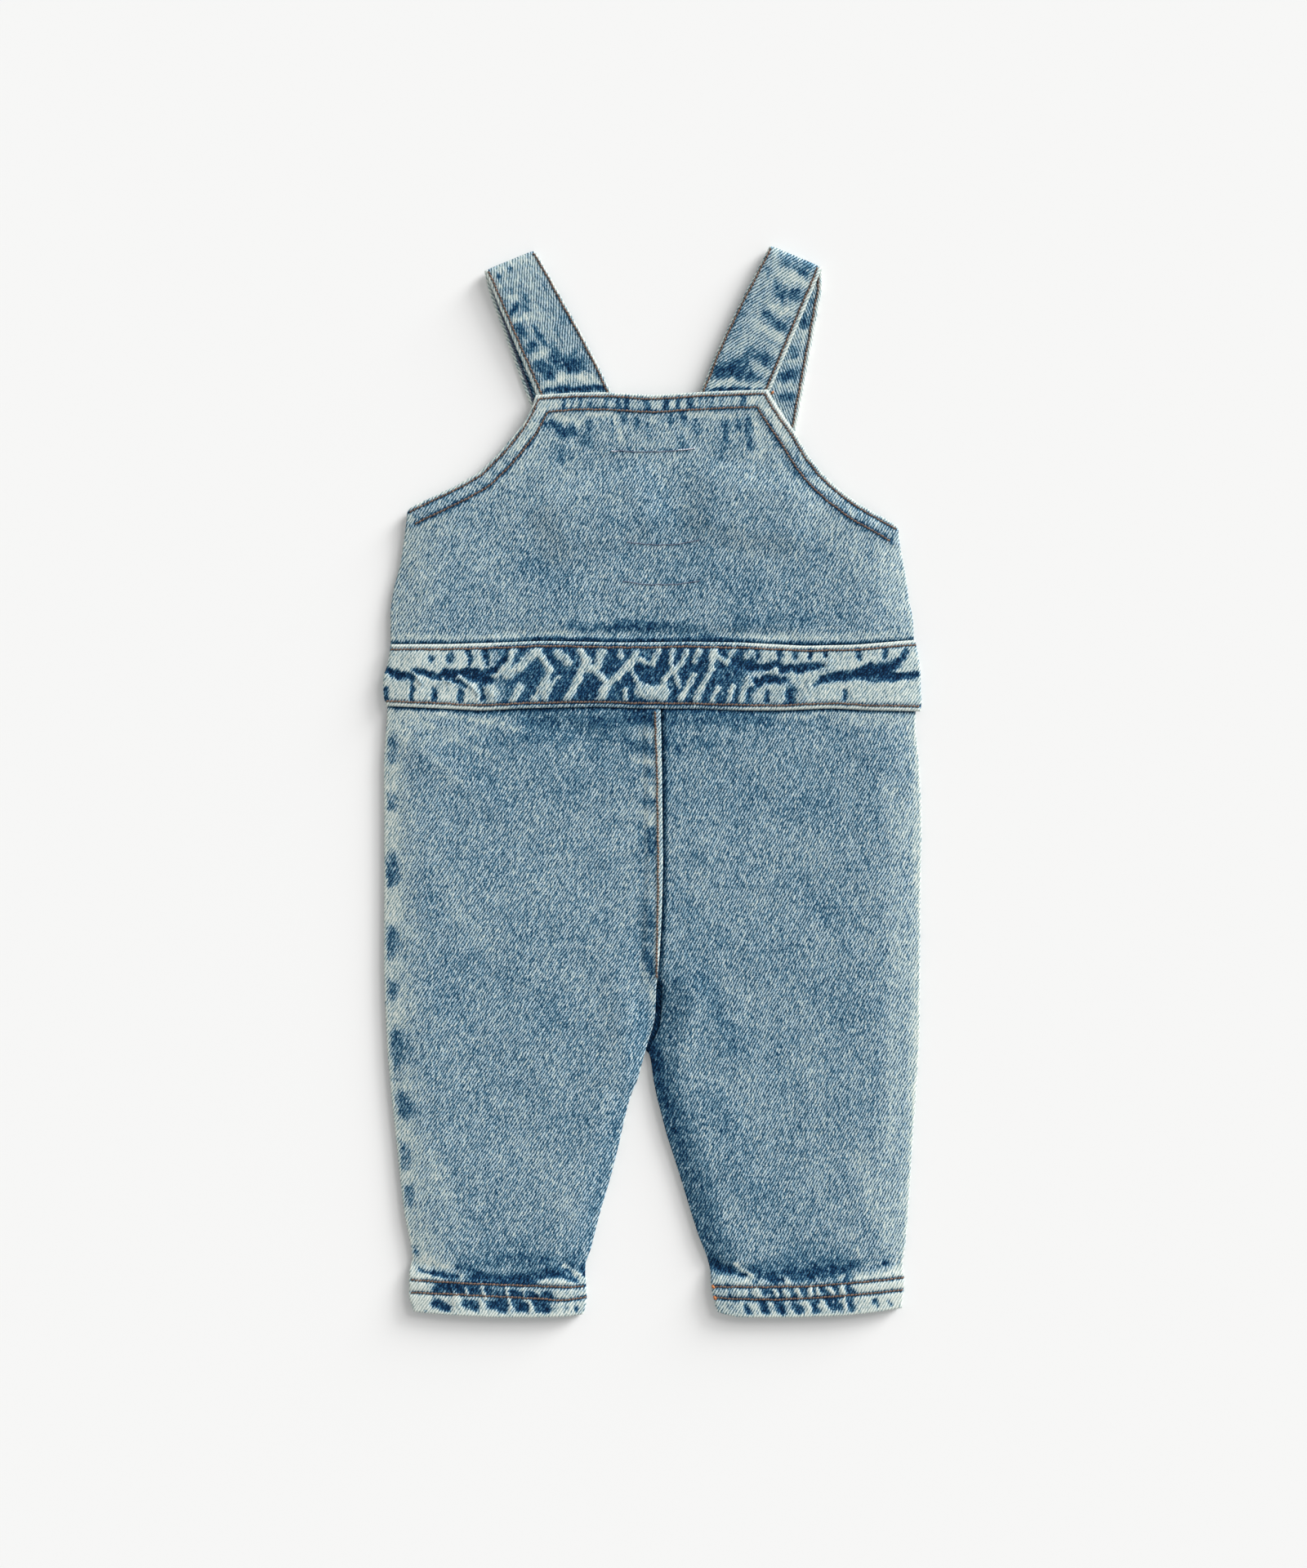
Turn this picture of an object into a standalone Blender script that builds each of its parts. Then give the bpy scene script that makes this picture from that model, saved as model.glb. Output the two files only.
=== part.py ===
"""A baby's denim dungarees, laid flat on their front with the back side up.

The cloth rests on z = 0, +Y runs from the hems to the straps, and the origin
is under the middle of the whole garment. Left and right are as seen from above.
Tables are in millimetres, and the meshes are in metres.
"""

import math

import bmesh
import bpy
import numpy as np

MM = 0.001

# Cloth
CLOTH = 1.2
TURNED_CLOTH = 1.8
BAND_CLOTH = 2.2
STRAP_CLOTH = 2.0
SEAM_GAP = 0.3
WAIST_GAP = 0.5

# Turned edges and hems
TURNED_WIDTH = 7.8
TURNED_STEP = 1.6
TURNED_RELIEF = 0.3
HEM_WIDTH = 17.0
LAP_WIDTH = 7.0
LAP_RELIEF = 0.6

# How far in from a side edge the upper layer takes to rise to its full height
SIDE_ROLL = 26.0
INSEAM_ROLL = 18.0
ROLL_POWER = 2.2

# Strap ends on the front bib
STRAP_HALF_WIDTH = 14.0
STRAP_LIFT = 2.9
STRAP_MARGIN = 4.0
BUTTON_LIFT = 1.7
BUTTON_REACH = 8.0
BUTTON_SLOPE = 15.0
SIDE_SLOPE = 18.0
BUTTON_RADIUS = 7.5
BUTTON_HEIGHT = 1.4
BUTTON_RIM = 0.4
BUTTON_WELL_RADIUS = 4.2
BUTTON_WELL_DEPTH = 0.5
BUTTON_SIDES = 32
TAB_LENGTH = 14.0

# Outer edges of the bib: y, x
BIB_LEFT_EDGE = [
    (66.7, -128.3), (83.3, -128.6), (94.0, -127.0), (104.7, -123.8), (115.5, -122.2),
    (127.2, -120.6), (133.1, -120.2), (139.5, -106.8), (145.1, -95.0), (151.1, -84.8),
    (159.5, -76.2), (165.5, -71.0), (174.3, -64.0), (183.5, -59.2), (190.0, -57.3),
]
BIB_RIGHT_EDGE = [
    (67.9, 128.0), (78.3, 127.6), (88.3, 125.6), (100.3, 124.0), (110.3, 122.0),
    (120.3, 120.4), (124.7, 120.4), (130.3, 110.4), (135.9, 100.4), (143.5, 90.4),
    (150.7, 82.8), (158.3, 76.8), (165.1, 72.6), (171.9, 68.4), (177.4, 64.4),
    (183.6, 60.2), (190.0, 56.2),
]
# Top edge of the back bib: x, y
BIB_TOP_EDGE = [
    (-57.3, 188.5), (-39.6, 189.7), (-23.6, 189.9), (0.4, 188.5), (24.4, 190.1),
    (40.4, 190.7), (55.8, 191.3),
]

# Armholes and top edge of the front bib, which the back bib hides: x, y
FRONT_TOP_EDGE = [
    (-119.9, 131.5), (-108.0, 133.0), (-92.0, 135.5), (-75.0, 139.5), (-65.0, 143.4),
    (-56.0, 148.5), (68.0, 148.5), (74.0, 141.0), (82.0, 135.5), (95.0, 129.5),
    (108.0, 126.0), (120.2, 123.5),
]
FRONT_SIDE_TOP = 126.0
FRONT_INSET = 0.5
FRONT_COLUMNS = 41

# Waistband's lowest level and its height there, then its edges: x, y
BAND_LOW = 35.0
BAND_HEIGHT = 33.0
BAND_TOP_EDGE = [
    (-132.0, 66.7), (-100.8, 66.7), (-68.6, 67.7), (-54.8, 68.3), (-15.0, 67.5),
    (17.9, 67.9), (43.4, 67.5), (74.0, 65.9), (99.6, 66.4), (132.0, 69.2),
]
BAND_BOTTOM_EDGE = [
    (-132.0, 36.6), (-100.8, 35.1), (-83.6, 34.2), (-63.2, 35.3), (-25.7, 36.1),
    (-7.6, 35.3), (23.6, 35.1), (43.4, 34.3), (63.8, 34.3), (87.2, 35.3),
    (107.6, 34.3), (132.0, 33.8),
]
# Straight waist seams of the front, which nothing shows: x, y
FRONT_BAND_TOP = [(-200.0, 67.2), (200.0, 67.2)]
FRONT_BAND_BOTTOM = [(-200.0, 35.2), (200.0, 35.2)]
# Waistband ends: y, left x, right x
BAND_ENDS = [
    (34.0, -130.0, 131.0), (39.5, -131.8, 131.8), (44.5, -132.0, 131.3), (50.3, -132.2, 131.2),
    (55.5, -130.2, 131.0), (62.3, -129.0, 129.6), (69.0, -128.1, 128.1),
]

# Legs: y, outer x
LEG_LEFT_OUTER = [
    (-262.9, -117.0), (-260.0, -117.6), (-255.7, -119.4), (-243.7, -119.4), (-239.3, -119.2),
    (-233.7, -117.6), (-225.7, -119.0), (-213.7, -121.6), (-193.7, -124.0), (-173.7, -126.0),
    (-153.7, -128.2), (-133.7, -130.0), (-109.7, -131.2), (-89.7, -131.8), (-57.7, -131.6),
    (-17.7, -131.6), (10.3, -131.8), (22.3, -130.8), (37.0, -129.6),
]
LEG_RIGHT_OUTER = [
    (-262.9, 122.0), (-258.3, 122.4), (-249.7, 123.4), (-242.9, 123.2), (-237.2, 122.4),
    (-229.7, 123.6), (-221.7, 124.4), (-205.7, 125.6), (-185.7, 126.8), (-165.7, 128.2),
    (-145.7, 129.6), (-125.7, 130.8), (-97.7, 131.0), (-57.7, 131.2), (-25.7, 131.8),
    (-9.7, 131.6), (10.3, 130.4), (26.3, 128.8), (37.0, 128.8),
]
# Centre seam, then the inner edge of each leg: y, x
CENTRE_SEAM = [
    (-97.3, 2.2), (-89.7, 3.0), (-81.7, 3.6), (-65.7, 4.4), (-41.7, 5.0), (4.7, 4.5), (37.0, 3.8),
]
LEG_LEFT_INNER = [
    (-262.9, -34.4), (-257.7, -32.6), (-252.9, -32.2), (-247.2, -32.6), (-242.9, -33.0),
    (-236.5, -33.0), (-230.0, -30.4), (-221.7, -28.4), (-209.7, -25.2), (-193.7, -20.4),
    (-177.7, -16.4), (-169.3, -14.6), (-158.5, -12.0), (-152.5, -10.0), (-146.9, -7.4),
    (-139.2, -5.4), (-132.1, -3.4), (-126.5, -1.8), (-122.4, -0.3), (-116.8, 1.0),
    (-110.1, 1.5), (-102.5, 1.6),
] + CENTRE_SEAM
LEG_RIGHT_INNER = [
    (-262.9, 32.0), (-259.3, 30.6), (-252.5, 29.0), (-245.7, 28.4), (-239.7, 28.2),
    (-232.9, 26.5), (-223.5, 22.6), (-211.1, 18.6), (-198.1, 14.7), (-185.7, 10.8),
    (-173.5, 6.8), (-163.7, 4.3), (-155.1, 2.0), (-145.9, 0.2), (-137.7, -0.8),
    (-132.1, -2.3), (-127.7, 0.4), (-120.1, 3.6), (-110.1, 4.6), (-101.5, 4.6),
] + [(y, x + SEAM_GAP) for y, x in CENTRE_SEAM]
CROTCH = -97.3
CROTCH_FADE = 34.0

# Hem edges: x, y
HEM_LEFT = [
    (-119.4, -259.8), (-113.3, -260.7), (-99.0, -261.7), (-77.6, -262.9), (-56.2, -262.9),
    (-41.9, -262.5), (-32.0, -261.2),
]
HEM_RIGHT = [
    (28.4, -258.8), (33.2, -260.9), (39.4, -262.5), (47.0, -262.9), (70.0, -262.9),
    (92.9, -262.1), (108.2, -260.5), (123.4, -258.2),
]

# Height of the upper layer's outer face: y, at the side edges, in the middle
BIB_LEVELS = [
    (66.0, 3.9, 5.8), (90.0, 3.2, 6.0), (115.0, 3.6, 6.0), (127.0, 4.1, 6.1),
    (140.0, 4.6, 6.2), (160.0, 5.5, 6.2), (180.0, 6.2, 6.3), (192.0, 6.4, 6.4),
]
LEG_LEVELS = [
    (-263.0, 4.0, 5.4), (-246.0, 4.1, 5.6), (-238.0, 3.3, 5.2), (-200.0, 3.2, 5.4),
    (-130.0, 3.2, 5.5), (-40.0, 3.2, 5.6), (20.0, 3.2, 5.8), (37.0, 3.9, 5.8),
]
BAND_EDGE_LEVEL = 4.8
BAND_MIDDLE_LEVEL = 6.7

# Straps, one row for each section from the root to the tip:
# left x, left y, right x, right y, height of the strap's middle
STRAP_RIGHT_UPPER = [
    (18.7, 180.0, 52.5, 179.6, 3.3), (24.0, 191.9, 57.8, 191.5, 3.4),
    (30.0, 207.0, 63.4, 204.6, 3.9), (38.0, 224.4, 69.4, 218.8, 4.3),
    (45.0, 238.4, 74.2, 230.2, 4.5), (50.8, 249.4, 78.4, 240.0, 4.6),
    (55.6, 258.6, 81.6, 248.0, 4.5),
]
STRAP_RIGHT_FOLD = [
    (57.1, 261.6, 82.7, 250.8, 3.7), (57.3, 262.0, 83.0, 251.1, 2.8),
    (57.0, 261.2, 82.8, 250.0, 1.7),
]
STRAP_LEFT_UPPER = [
    (-51.4, 177.4, -15.2, 178.4, 3.3), (-57.1, 189.1, -20.4, 190.2, 3.4),
    (-62.0, 201.0, -27.0, 204.2, 3.9), (-68.4, 215.8, -35.2, 219.6, 4.3),
    (-74.2, 229.6, -43.4, 234.4, 4.5), (-78.4, 239.8, -50.4, 247.0, 4.6),
    (-81.2, 246.6, -55.6, 256.0, 4.5),
]
STRAP_LEFT_FOLD = [
    (-82.2, 249.0, -57.6, 259.2, 3.7), (-82.4, 249.5, -58.0, 259.5, 2.8),
    (-82.3, 248.6, -57.7, 258.7, 1.7),
]
# Lower runs: x and y of the middle at the start, direction in degrees, length
STRAP_RIGHT_LOWER = (70.4, 249.6, -100.5, 132.9)
STRAP_LEFT_LOWER = (-69.0, 249.8, -70.0, 140.4)

# Soft folds in the upper layer: x0, y0, x1, y1, half width, height
FOLDS = [
    (-74.0, 71.6, 66.0, 71.2, 2.6, -0.5),
    (-6.0, -74.0, -1.0, -132.0, 5.0, -0.7),
    (-19.0, -96.0, -12.0, -146.0, 6.0, 0.5),
    (20.0, -104.0, 12.0, -150.0, 6.0, 0.5),
    (-124.0, 22.0, -74.0, -14.0, 6.0, 0.4),
    (-60.0, 30.0, -30.0, 22.0, 4.5, -0.4),
    (-117.0, -236.0, -96.0, -240.5, 2.6, -0.5),
    (-44.0, -237.0, -35.0, -244.0, 2.6, -0.6),
    (28.0, -236.0, 46.0, -241.5, 2.6, -0.6),
]
# Puckers across the waistband: x, lean, low end, high end, height
PUCKERS = [
    (-112.0, -8.0, 0.45, 1.0, 0.5), (-97.0, 5.0, 0.35, 0.95, 0.4), (-84.0, -5.0, 0.1, 0.8, 0.5),
    (-71.0, 7.0, 0.1, 0.9, 0.6), (-61.0, 6.0, 0.15, 0.95, 0.6), (-50.0, 8.0, 0.1, 0.8, 0.7),
    (-38.0, 9.0, 0.05, 0.9, 0.7), (-27.0, 6.0, 0.1, 1.0, 0.6), (-15.0, 9.0, 0.05, 0.85, 0.7),
    (-3.0, 5.0, 0.15, 0.95, 0.7), (9.0, 8.0, 0.05, 0.9, 0.7), (20.0, -6.0, 0.2, 0.9, 0.6),
    (31.0, 8.0, 0.1, 0.8, 0.5), (44.0, -8.0, 0.1, 0.7, 0.5), (58.0, 9.0, 0.1, 0.6, 0.4),
    (74.0, -10.0, 0.4, 0.9, 0.4), (92.0, 10.0, 0.3, 0.8, 0.4), (110.0, -8.0, 0.4, 0.9, 0.4),
]
PUCKER_HALF_WIDTH = 2.6

# Colours: red, green, blue
DENIM = (0.20, 0.29, 0.35)
DENIM_BAND = (0.14, 0.22, 0.28)
METAL = (0.62, 0.60, 0.57)


def fade(value):
    """Falls smoothly from 1 at or below 0 to 0 at or above 1."""
    value = np.clip(value, 0.0, 1.0)
    return 1.0 - value * value * (3.0 - 2.0 * value)


def lookup(table, where, column=1):
    """Reads a column of a table at a value of its first column."""
    rows = np.array(table, dtype=float)
    return np.interp(where, rows[:, 0], rows[:, column])


def edge_slant(table, y):
    """Length of a slanting edge for each millimetre of height, held under 3."""
    step = 0.8
    slope = (lookup(table, y + step) - lookup(table, y - step)) / (2.0 * step)
    return min(math.hypot(1.0, slope), 3.0)


def distance_to_line(points, x, y):
    """Distance from x, y to an open line through the points."""
    nearest = np.full(np.shape(x), 1e9)
    for (ax, ay), (bx, by) in zip(points, points[1:]):
        dx, dy = bx - ax, by - ay
        share = ((x - ax) * dx + (y - ay) * dy) / (dx * dx + dy * dy)
        share = np.clip(share, 0.0, 1.0)
        nearest = np.minimum(nearest, np.hypot(x - ax - share * dx, y - ay - share * dy))
    return nearest


def side_roll(distance, reach):
    """Rises from 0 at a side edge to 1 at the reach, steeply at first."""
    share = np.clip(distance / reach, 0.0, 1.0)
    return 1.0 - (1.0 - share) ** ROLL_POWER


def turned(distance, width):
    """Is 1 on a turned edge and 0 past its inner edge."""
    return fade((distance - width) / TURNED_STEP)


def fold_height(x, y):
    """Sum of the soft ridges and troughs at x, y."""
    height = np.zeros(np.shape(x))
    for x0, y0, x1, y1, half_width, rise in FOLDS:
        away = distance_to_line([(x0, y0), (x1, y1)], x, y)
        height = height + rise * np.exp(-(away / half_width) ** 2)
    return height


def strap_frame(lower_run):
    """Button's centre and the direction of a strap's lower run."""
    x, y, degrees, length = lower_run
    angle = math.radians(degrees)
    along = (math.cos(angle), math.sin(angle))
    reach = length - TAB_LENGTH
    return x + along[0] * reach, y + along[1] * reach, along


def button_bump(lower_run, x, y):
    """Share of the button's lift at x, y, flat across the strap's width."""
    centre_x, centre_y, along = strap_frame(lower_run)
    forward = (x - centre_x) * along[0] + (y - centre_y) * along[1]
    across = (x - centre_x) * along[1] - (y - centre_y) * along[0]
    lengthways = fade((np.abs(forward) - BUTTON_REACH) / BUTTON_SLOPE)
    return lengthways * fade((np.abs(across) - STRAP_HALF_WIDTH - STRAP_MARGIN) / SIDE_SLOPE)


def strap_bump(lower_run, x, y):
    """Share of the strap's own lift at x, y, round its tip too."""
    centre_x, centre_y, along = strap_frame(lower_run)
    forward = (x - centre_x) * along[0] + (y - centre_y) * along[1]
    across = (x - centre_x) * along[1] - (y - centre_y) * along[0]
    sideways = fade((np.abs(across) - STRAP_HALF_WIDTH - STRAP_MARGIN) / SIDE_SLOPE)
    return sideways * fade((forward - TAB_LENGTH - STRAP_MARGIN) / SIDE_SLOPE)


def front_lift(x, y):
    """Height of the front bib's underside over the strap ends and buttons."""
    lift = np.zeros(np.shape(x))
    for run in (STRAP_LEFT_LOWER, STRAP_RIGHT_LOWER):
        own = STRAP_LIFT * strap_bump(run, x, y) + BUTTON_LIFT * button_bump(run, x, y)
        lift = np.maximum(lift, own)
    return lift


def denim(name, colour, roughness=0.9, metallic=0.0):
    """A material with the piece's own colour."""
    material = bpy.data.materials.new(name)
    material.use_nodes = True
    shader = material.node_tree.nodes["Principled BSDF"]
    shader.inputs["Base Color"].default_value = (*colour, 1.0)
    shader.inputs["Roughness"].default_value = roughness
    shader.inputs["Metallic"].default_value = metallic
    return material


def add_object(name, mesh_data, material):
    """Links a finished bmesh as an object with its own material."""
    bmesh.ops.recalc_face_normals(mesh_data, faces=mesh_data.faces)
    mesh = bpy.data.meshes.new(name)
    mesh_data.to_mesh(mesh)
    mesh_data.free()
    mesh.materials.append(material)
    mesh.shade_smooth()
    mesh.set_sharp_from_angle(angle=math.radians(40.0))
    piece = bpy.data.objects.new(name, mesh)
    bpy.context.collection.objects.link(piece)
    return piece


def shell(name, x, y, top, bottom, material):
    """Closed wall between two height fields on one grid of rows and columns."""
    rows, columns = x.shape
    data = bmesh.new()
    layers = []
    for height in (top, bottom):
        layer = [[data.verts.new((x[i, j] * MM, y[i, j] * MM, height[i, j] * MM))
                  for j in range(columns)] for i in range(rows)]
        layers.append(layer)
    for layer in layers:
        for i in range(rows - 1):
            for j in range(columns - 1):
                data.faces.new((layer[i][j], layer[i][j + 1], layer[i + 1][j + 1]))
                data.faces.new((layer[i][j], layer[i + 1][j + 1], layer[i + 1][j]))
    ring = [(0, j) for j in range(columns)]
    ring += [(i, columns - 1) for i in range(1, rows)]
    ring += [(rows - 1, j) for j in range(columns - 2, -1, -1)]
    ring += [(i, 0) for i in range(rows - 2, 0, -1)]
    upper, lower = layers
    for (i, j), (k, m) in zip(ring, ring[1:] + ring[:1]):
        data.faces.new((upper[i][j], lower[i][j], lower[k][m]))
        data.faces.new((upper[i][j], lower[k][m], upper[k][m]))
    return add_object(name, data, material)


def spread(low, high, insets, count, slants=(1.0, 1.0)):
    """Places from low to high: close steps at each end, then even ones."""
    first = [low + inset * slants[0] for inset in insets]
    last = [high - inset * slants[1] for inset in reversed(insets)]
    middle = np.linspace(first[-1], last[0], count + 2)[1:-1]
    return np.array(first + list(middle) + last)


def panel_grid(levels, left_edge, right_edge, insets, count, slanted=True):
    """Grid of x and y with a row at each level, between two side edges."""
    x_rows = []
    y_rows = []
    for y in levels:
        slants = (1.0, 1.0)
        if slanted:
            slants = (edge_slant(left_edge, y), edge_slant(right_edge, y))
        row = spread(lookup(left_edge, y), lookup(right_edge, y), insets, count, slants)
        x_rows.append(row)
        y_rows.append(np.full(len(row), y))
    return np.array(x_rows), np.array(y_rows)


def fit_ends(x, y, bottom_edge, top_edge, reach):
    """Bends the lowest and highest rows of a grid onto two edges."""
    low, high = y[0, 0], y[-1, 0]
    down = (lookup(bottom_edge, x) - low) * fade((y - low) / reach)
    up = (lookup(top_edge, x) - high) * fade((high - y) / reach)
    return y + down + up


def shifted(table, offset):
    """The table with its second column moved."""
    return [(first, second + offset) for first, second in table]


def back_bib():
    """Back bib: turned armholes and top edge, straps tucked beneath the top."""
    levels = [67.2, 69.0, 72.0, 78.0, 86.0, 94.0, 102.0, 110.0, 117.0, 121.0, 124.7, 128.0,
              131.0, 133.1, 136.0, 139.5, 145.0, 151.0, 158.5, 165.5, 172.0, 178.0,
              180.6, 182.4, 188.4, 190.0]
    x, y = panel_grid(levels, BIB_LEFT_EDGE, BIB_RIGHT_EDGE, (0.0, 1.5, 7.0, 9.4), 12)
    left = x - x[:, :1]
    right = x[:, -1:] - x
    y = fit_ends(x, y, shifted(BAND_TOP_EDGE, WAIST_GAP), BIB_TOP_EDGE, 30.0)
    armhole_left = [(b, a) for a, b in BIB_LEFT_EDGE if a > 130.0]
    armhole_right = [(b, a) for a, b in BIB_RIGHT_EDGE if a > 122.0]
    outline = armhole_left[:-1] + BIB_TOP_EDGE + armhole_right[::-1][1:]
    doubled = turned(distance_to_line(outline, x, y), TURNED_WIDTH)
    edge = lookup(BIB_LEVELS, y, 1)
    middle = lookup(BIB_LEVELS, y, 2)
    top = edge + (middle - edge) * side_roll(np.minimum(left, right), SIDE_ROLL)
    for run in (STRAP_LEFT_LOWER, STRAP_RIGHT_LOWER):
        top = top + BUTTON_LIFT * button_bump(run, x, y)
    top = top + fold_height(x, y) + TURNED_RELIEF * doubled
    bottom = top - CLOTH - (TURNED_CLOTH - CLOTH) * doubled
    return shell("back_bib", x, y, top, bottom, denim("back_bib_denim", DENIM))


def front_bib():
    """Front bib, which lies on the floor and rises over the strap ends."""
    low = FRONT_BAND_TOP[0][1] + WAIST_GAP
    doubled_start = TURNED_WIDTH + TURNED_STEP
    x_rows = []
    y_rows = []
    for share in (0.0, 0.12, 0.26, 0.4, 0.5, 0.58, 0.66, 0.74, 0.82, 0.91, 1.0):
        y_side = low + share * (FRONT_SIDE_TOP - doubled_start - low)
        x = front_row(y_side)
        x_rows.append(x)
        y_rows.append(low + share * (lookup(FRONT_TOP_EDGE, x) - doubled_start - low))
    for inset in (TURNED_WIDTH, TURNED_WIDTH / 2.0, 0.0):
        x = front_row(FRONT_SIDE_TOP - inset)
        x_rows.append(x)
        y_rows.append(lookup(FRONT_TOP_EDGE, x) - inset)
    x = np.array(x_rows)
    y = np.array(y_rows)
    doubled = turned(distance_to_line(FRONT_TOP_EDGE, x, y), TURNED_WIDTH)
    bottom = front_lift(x, y)
    top = bottom + CLOTH + (TURNED_CLOTH - CLOTH) * doubled
    return shell("front_bib", x, y, top, bottom, denim("front_bib_denim", DENIM))


def front_row(y):
    """Columns of the front bib at one height of its side edges."""
    left = lookup(BIB_LEFT_EDGE, y) + FRONT_INSET
    right = lookup(BIB_RIGHT_EDGE, y) - FRONT_INSET
    return np.linspace(left, right, FRONT_COLUMNS)


def band_grid(bottom_edge, top_edge, inset, count, shares):
    """Grid of a waistband, with rows at shares of its height."""
    x_rows = []
    y_rows = []
    for share in shares:
        y_middle = BAND_LOW + share * BAND_HEIGHT
        left = lookup(BAND_ENDS, y_middle, 1) + inset
        right = lookup(BAND_ENDS, y_middle, 2) - inset
        row = spread(left, right, (0.0, 1.5, 4.0), count)
        low = lookup(bottom_edge, row)
        high = lookup(top_edge, row)
        x_rows.append(row)
        y_rows.append(low + share * (high - low))
    return np.array(x_rows), np.array(y_rows)


def pucker_height(x, y):
    """Sum of the waistband's puckers at x, y."""
    height = np.zeros(np.shape(x))
    low = lookup(BAND_BOTTOM_EDGE, x)
    high = lookup(BAND_TOP_EDGE, x)
    for centre, lean, start, end, rise in PUCKERS:
        base = lookup(BAND_BOTTOM_EDGE, centre)
        tall = lookup(BAND_TOP_EDGE, centre) - base
        ends = [(centre - lean / 2.0, base + start * tall), (centre + lean / 2.0, base + end * tall)]
        away = distance_to_line(ends, x, y)
        height = height + rise * np.exp(-(away / PUCKER_HALF_WIDTH) ** 2)
    inside = np.minimum(y - low, high - y)
    return height * (1.0 - fade(inside / 5.0))


def back_waistband():
    """Back waistband, proud of the bib and the legs, with its puckers."""
    shares = (0.0, 0.05, 0.2, 0.35, 0.5, 0.65, 0.8, 0.95, 1.0)
    x, y = band_grid(BAND_BOTTOM_EDGE, BAND_TOP_EDGE, 0.0, 52, shares)
    inside = np.minimum(x - x[:, :1], x[:, -1:] - x)
    rise = BAND_MIDDLE_LEVEL - BAND_EDGE_LEVEL
    top = BAND_EDGE_LEVEL + rise * side_roll(inside, SIDE_ROLL)
    bottom = top - BAND_CLOTH
    top = top + pucker_height(x, y)
    return shell("back_waistband", x, y, top, bottom, denim("back_waistband_denim", DENIM_BAND))


def front_waistband():
    """Front waistband, flat on the floor."""
    x, y = band_grid(FRONT_BAND_BOTTOM, FRONT_BAND_TOP, FRONT_INSET, 6, (0.0, 0.5, 1.0))
    bottom = np.zeros(x.shape)
    top = bottom + BAND_CLOTH
    return shell("front_waistband", x, y, top, bottom, denim("front_waistband_denim", DENIM_BAND))


def leg_levels():
    """Heights of a leg's rows, closer at the crotch and the hem."""
    hem = [-262.0, -260.6, -254.0, -247.4, -245.4, -240.0, -235.0, -229.0]
    shin = list(np.linspace(-221.0, -165.0, 5))
    crotch = [-156.0, -149.0, -142.0, -137.0, -132.1, -128.0, -122.0, -116.0, -110.0,
              -103.0, -97.3]
    thigh = list(np.linspace(-88.0, 18.0, 7))
    return hem + shin + crotch + thigh + [26.0, 31.0, 34.6]


def leg_grid(left_edge, right_edge, hem_edge, waist_edge, inset, fine):
    """Grid of a leg between its side edges, hem and waist seam."""
    left_edge = shifted(left_edge, inset)
    right_edge = shifted(right_edge, -inset)
    insets = (0.0, 1.5, 6.6, 8.8) if fine else (0.0,)
    count = 6 if fine else 3
    x, y = panel_grid(leg_levels(), left_edge, right_edge, insets, count, slanted=False)
    return x, fit_ends(x, y, hem_edge, shifted(waist_edge, -WAIST_GAP), 26.0)


def hem_share(y, hem_edge, x):
    """Is 1 on the turned hem and 0 above it."""
    return turned(y - lookup(hem_edge, x), HEM_WIDTH)


def back_leg(name, left_edge, right_edge, hem_edge, seam_on_right, lapped):
    """Back leg panel, rolled at its side edges and below the crotch."""
    x, y = leg_grid(left_edge, right_edge, hem_edge, BAND_BOTTOM_EDGE, 0.0, True)
    outer = x - x[:, :1]
    inner = x[:, -1:] - x
    if not seam_on_right:
        outer, inner = inner, outer
    below_crotch = 1.0 - fade((CROTCH + 12.0 - y) / CROTCH_FADE)
    inner_roll = 1.0 - below_crotch * (1.0 - side_roll(inner, INSEAM_ROLL))
    edge = lookup(LEG_LEVELS, y, 1)
    middle = lookup(LEG_LEVELS, y, 2)
    top = edge + (middle - edge) * side_roll(outer, SIDE_ROLL) * inner_roll
    hem = hem_share(y, hem_edge, x)
    lap = turned(inner, LAP_WIDTH) * (1.0 - below_crotch) * lapped
    top = top + fold_height(x, y) + TURNED_RELIEF * hem + LAP_RELIEF * lap
    bottom = top - CLOTH - (TURNED_CLOTH - CLOTH) * np.maximum(hem, lap)
    return shell(name, x, y, top, bottom, denim(name + "_denim", DENIM))


def front_leg(name, left_edge, right_edge, hem_edge):
    """Front leg panel, flat on the floor, with its turned hem."""
    x, y = leg_grid(left_edge, right_edge, hem_edge, FRONT_BAND_BOTTOM, FRONT_INSET, False)
    bottom = np.zeros(x.shape)
    top = CLOTH + (TURNED_CLOTH - CLOTH) * hem_share(y, hem_edge, x)
    return shell(name, x, y, top, bottom, denim(name + "_denim", DENIM))


def lower_sections(lower_run, count):
    """Sections of a strap's lower run, lifted over its button."""
    x, y, degrees, length = lower_run
    _, _, along = strap_frame(lower_run)
    sections = []
    for reach in np.linspace(6.0, length, count):
        centre_x = x + along[0] * reach
        centre_y = y + along[1] * reach
        lift = BUTTON_LIFT * float(button_bump(lower_run, centre_x, centre_y))
        side_x = -along[1] * STRAP_HALF_WIDTH
        side_y = along[0] * STRAP_HALF_WIDTH
        sections.append((centre_x - side_x, centre_y - side_y,
                         centre_x + side_x, centre_y + side_y,
                         lift + STRAP_CLOTH / 2.0))
    return sections


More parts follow.
